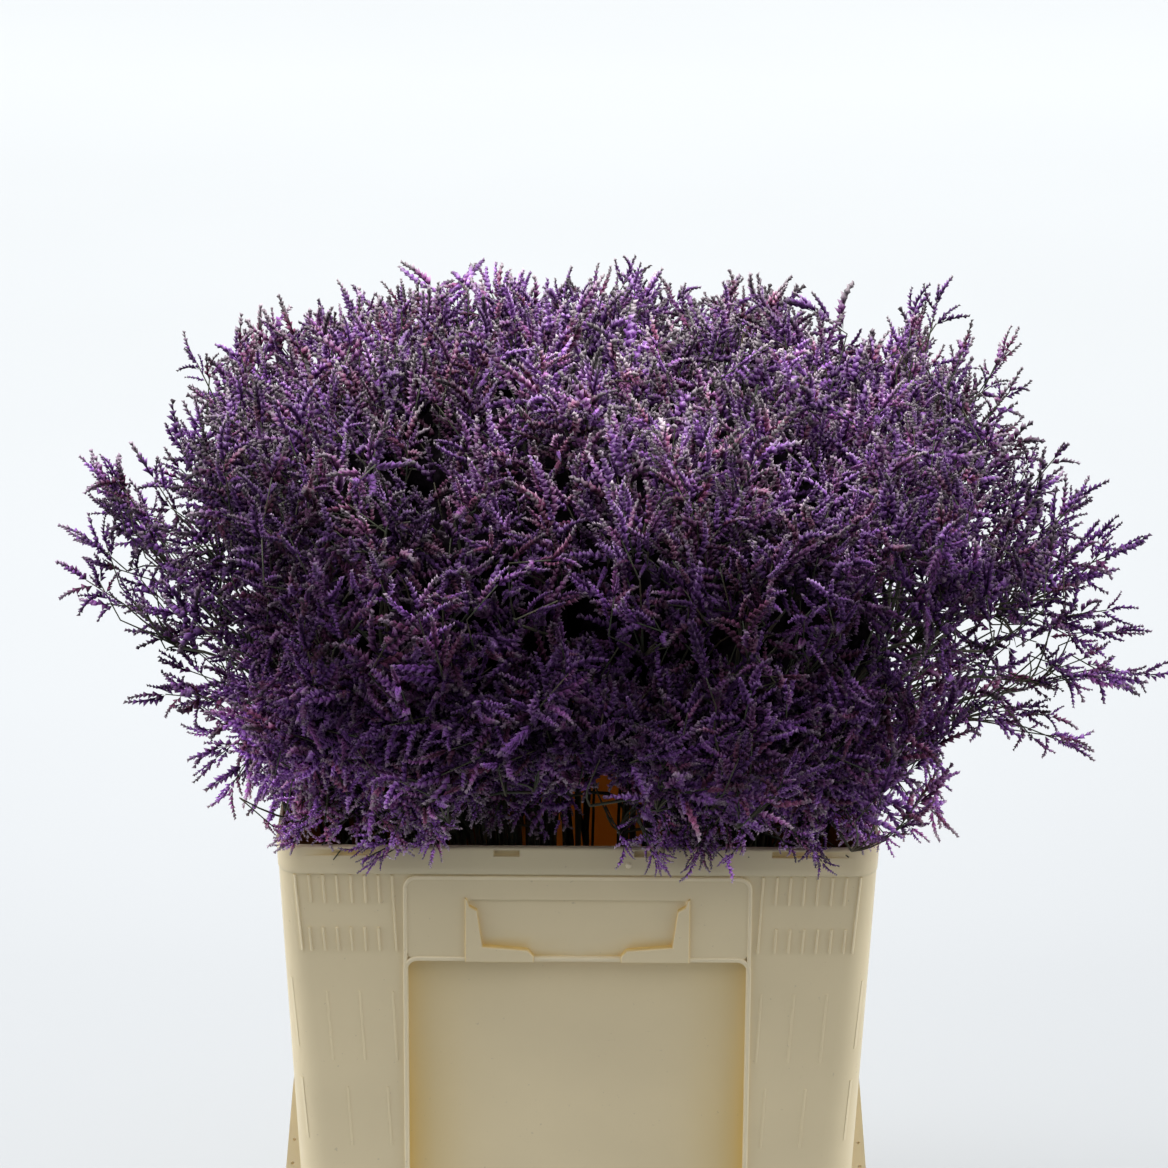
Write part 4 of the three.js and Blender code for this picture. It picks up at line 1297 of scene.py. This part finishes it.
def add_spikes(shape, template, feet, axes, tones):
    """One kind of spike at each foot, in its frame, with its grey, own tint and cluster tint."""
    points, faces, grown = template
    placed = np.einsum("vk,nkj->nvj", points, axes) + feet[:, None, :]
    every = np.tile(grown, (len(feet), 1, 1))
    every[:, :, 1:] += tones[:, None, :]
    shape.add(placed, repeated(faces, len(feet), len(points)), every.reshape(-1, 4))


def plant():
    c = all_clusters()
    feet, axes, own, owners = spikes_of(c)
    greys = grey_share(c.tips)
    tones = np.stack([greys[owners], own, c.tints[owners]], axis=1)
    templates = spike_templates(*FULL_SPIKES) + spike_templates(*AIRY_SPIKES)
    full = FULL_SPIKES[0]
    airy = rng.random(len(feet)) < c.airy[owners]
    kinds = np.where(airy, full, 0) + rng.integers(0, np.where(airy, AIRY_SPIKES[0], full))
    heads = head_of(c.tips)
    bases = c.tips - c.ways * (SPIKE_LENGTH * c.sizes)[:, None]
    roots = bases - c.ways * TWIG_BACK
    flowers, twigs, shade_core = flower_material(), twig_material(), shade_core_material()
    for head in range(len(STEM_PLACES)):
        number = f"{head + 1:02d}"
        shape, branches = Shape(), Shape()
        for kind, template in enumerate(templates):
            used = np.flatnonzero((heads[owners] == head) & (kinds == kind))
            add_spikes(shape, template, feet[used], axes[used], tones[used])
        add_core(shape, head)
        mine = heads == head
        head_branches(branches, head, roots[mine], bases[mine])
        shape.build(f"flowers_{number}", [flowers, shade_core], "flower_heads", f"head_{number}")
        branches.build(f"branches_{number}", [twigs], "flower_stems", f"stem_{number}")


# Floor, light and camera, in metres

CAMERA_PLACE = (0.003, -3.379, 1.791)
CAMERA_PITCH, CAMERA_ROLL = 20.0, 0.35
# Focal length in pixels of the 1168-pixel frame, on a 36 mm sensor
FOCAL_PIXELS, FRAME_PIXELS, SENSOR = 5306, 1168, 36.0
# Colour of the floor by distance behind the bucket: darker in front, to light less from below
FLOOR_DARK, FLOOR_NEAR = (0.07, 0.072, 0.074), (0.395, 0.41, 0.425)
FLOOR_LEVELS = [
    (-6.0, (0.50, 0.52, 0.53)), (-3.4, FLOOR_DARK), (-0.90, FLOOR_DARK), (-0.38, FLOOR_NEAR),
    (0.6, FLOOR_NEAR), (3.5, (0.66, 0.685, 0.70)),
]
FLOOR_HALF, FLOOR_PAINTED = 30, 10.0
FLOOR_DROP = 0.0005
SKY_TOP, SKY_SIDE, SKY_FRONT, SKY_ENDS = 1.6, 0.75, 0.05, 3.2
BACKDROP = (0.93, 0.97, 1.0)
LAMP_SIZE, LAMP_WATTS = (1.6, 1.2), 60
LAMP_PLACE, LAMP_AIM = (-0.3, 0.5, 2.6), (0, 0, 0.6)


def placed(name, data):
    made = bpy.data.objects.new(name, data)
    bpy.context.scene.collection.objects.link(made)
    return made


def camera():
    data = bpy.data.cameras.new("camera")
    data.sensor_width = SENSOR
    data.lens = SENSOR * FOCAL_PIXELS / FRAME_PIXELS
    data.clip_end = 100
    made = placed("camera", data)
    pitch = Matrix.Rotation(math.radians(90 - CAMERA_PITCH), 4, "X")
    roll = Matrix.Rotation(math.radians(CAMERA_ROLL), 4, "Z")
    made.matrix_world = Matrix.Translation(CAMERA_PLACE) @ pitch @ roll
    bpy.context.scene.camera = made


def floor():
    mesh = bpy.data.meshes.new("floor")
    corners = [(x * FLOOR_HALF, y * FLOOR_HALF, 0) for x, y in ((-1, -1), (1, -1), (1, 1), (-1, 1))]
    mesh.from_pydata(corners, [], [(0, 1, 2, 3)])
    made = placed("floor", mesh)
    made.location.z = -FLOOR_DROP
    material, n = new_material("floor_paint")
    away = n.span(n.along("Y"), -FLOOR_PAINTED, FLOOR_PAINTED)
    colour = n.ramp(away, [(0.5 + y / (2 * FLOOR_PAINTED), tint) for y, tint in FLOOR_LEVELS])
    cloud = n.span(n.noise(1.5, 3), start=0.98, end=1.02)
    n.finish(n.surface(n.times(colour, cloud), 0.9, 0.1))
    mesh.materials.append(material)


def world():
    """Soft light from above, behind and the sides, and little from the camera's side."""
    made = bpy.data.worlds.new("studio")
    bpy.context.scene.world = made
    n = Nodes(made, "OutputWorld")
    where = n.add("TexCoord").outputs["Generated"]
    x, y, z = n.add("SeparateXYZ", {"Vector": where}).outputs
    level = n.mix(n.span(y, -0.95, -0.15, soft=True), (SKY_FRONT,) * 3, (SKY_SIDE,) * 3)
    level = n.times(level, n.span(n.maths("ABSOLUTE", x), 0.55, 0.9, 1.0, SKY_ENDS))
    level = n.mix(n.span(z, 0.45, 0.9, soft=True), level, (SKY_TOP,) * 3)
    light = n.add("Background", {"Color": level, "Strength": 1.0})
    shown = n.add("Background", {"Color": BACKDROP, "Strength": 1.0})
    seen = n.add("LightPath").outputs["Is Camera Ray"]
    n.finish(n.add("MixShader", {0: seen, 1: light.outputs[0], 2: shown.outputs[0]}).outputs[0])


def soft_box():
    """A wide soft lamp above and a little behind the bucket."""
    data = bpy.data.lights.new("soft_box", "AREA")
    data.shape = "RECTANGLE"
    data.size, data.size_y = LAMP_SIZE
    data.energy = LAMP_WATTS
    made = placed("soft_box", data)
    made.location = LAMP_PLACE
    aim = Vector(LAMP_AIM) - made.location
    made.rotation_euler = aim.to_track_quat("-Z", "Y").to_euler()


camera()
world()
soft_box()
floor()
bucket()
plant()

view = bpy.context.scene.view_settings
view.view_transform = "Standard"
view.look = "None"
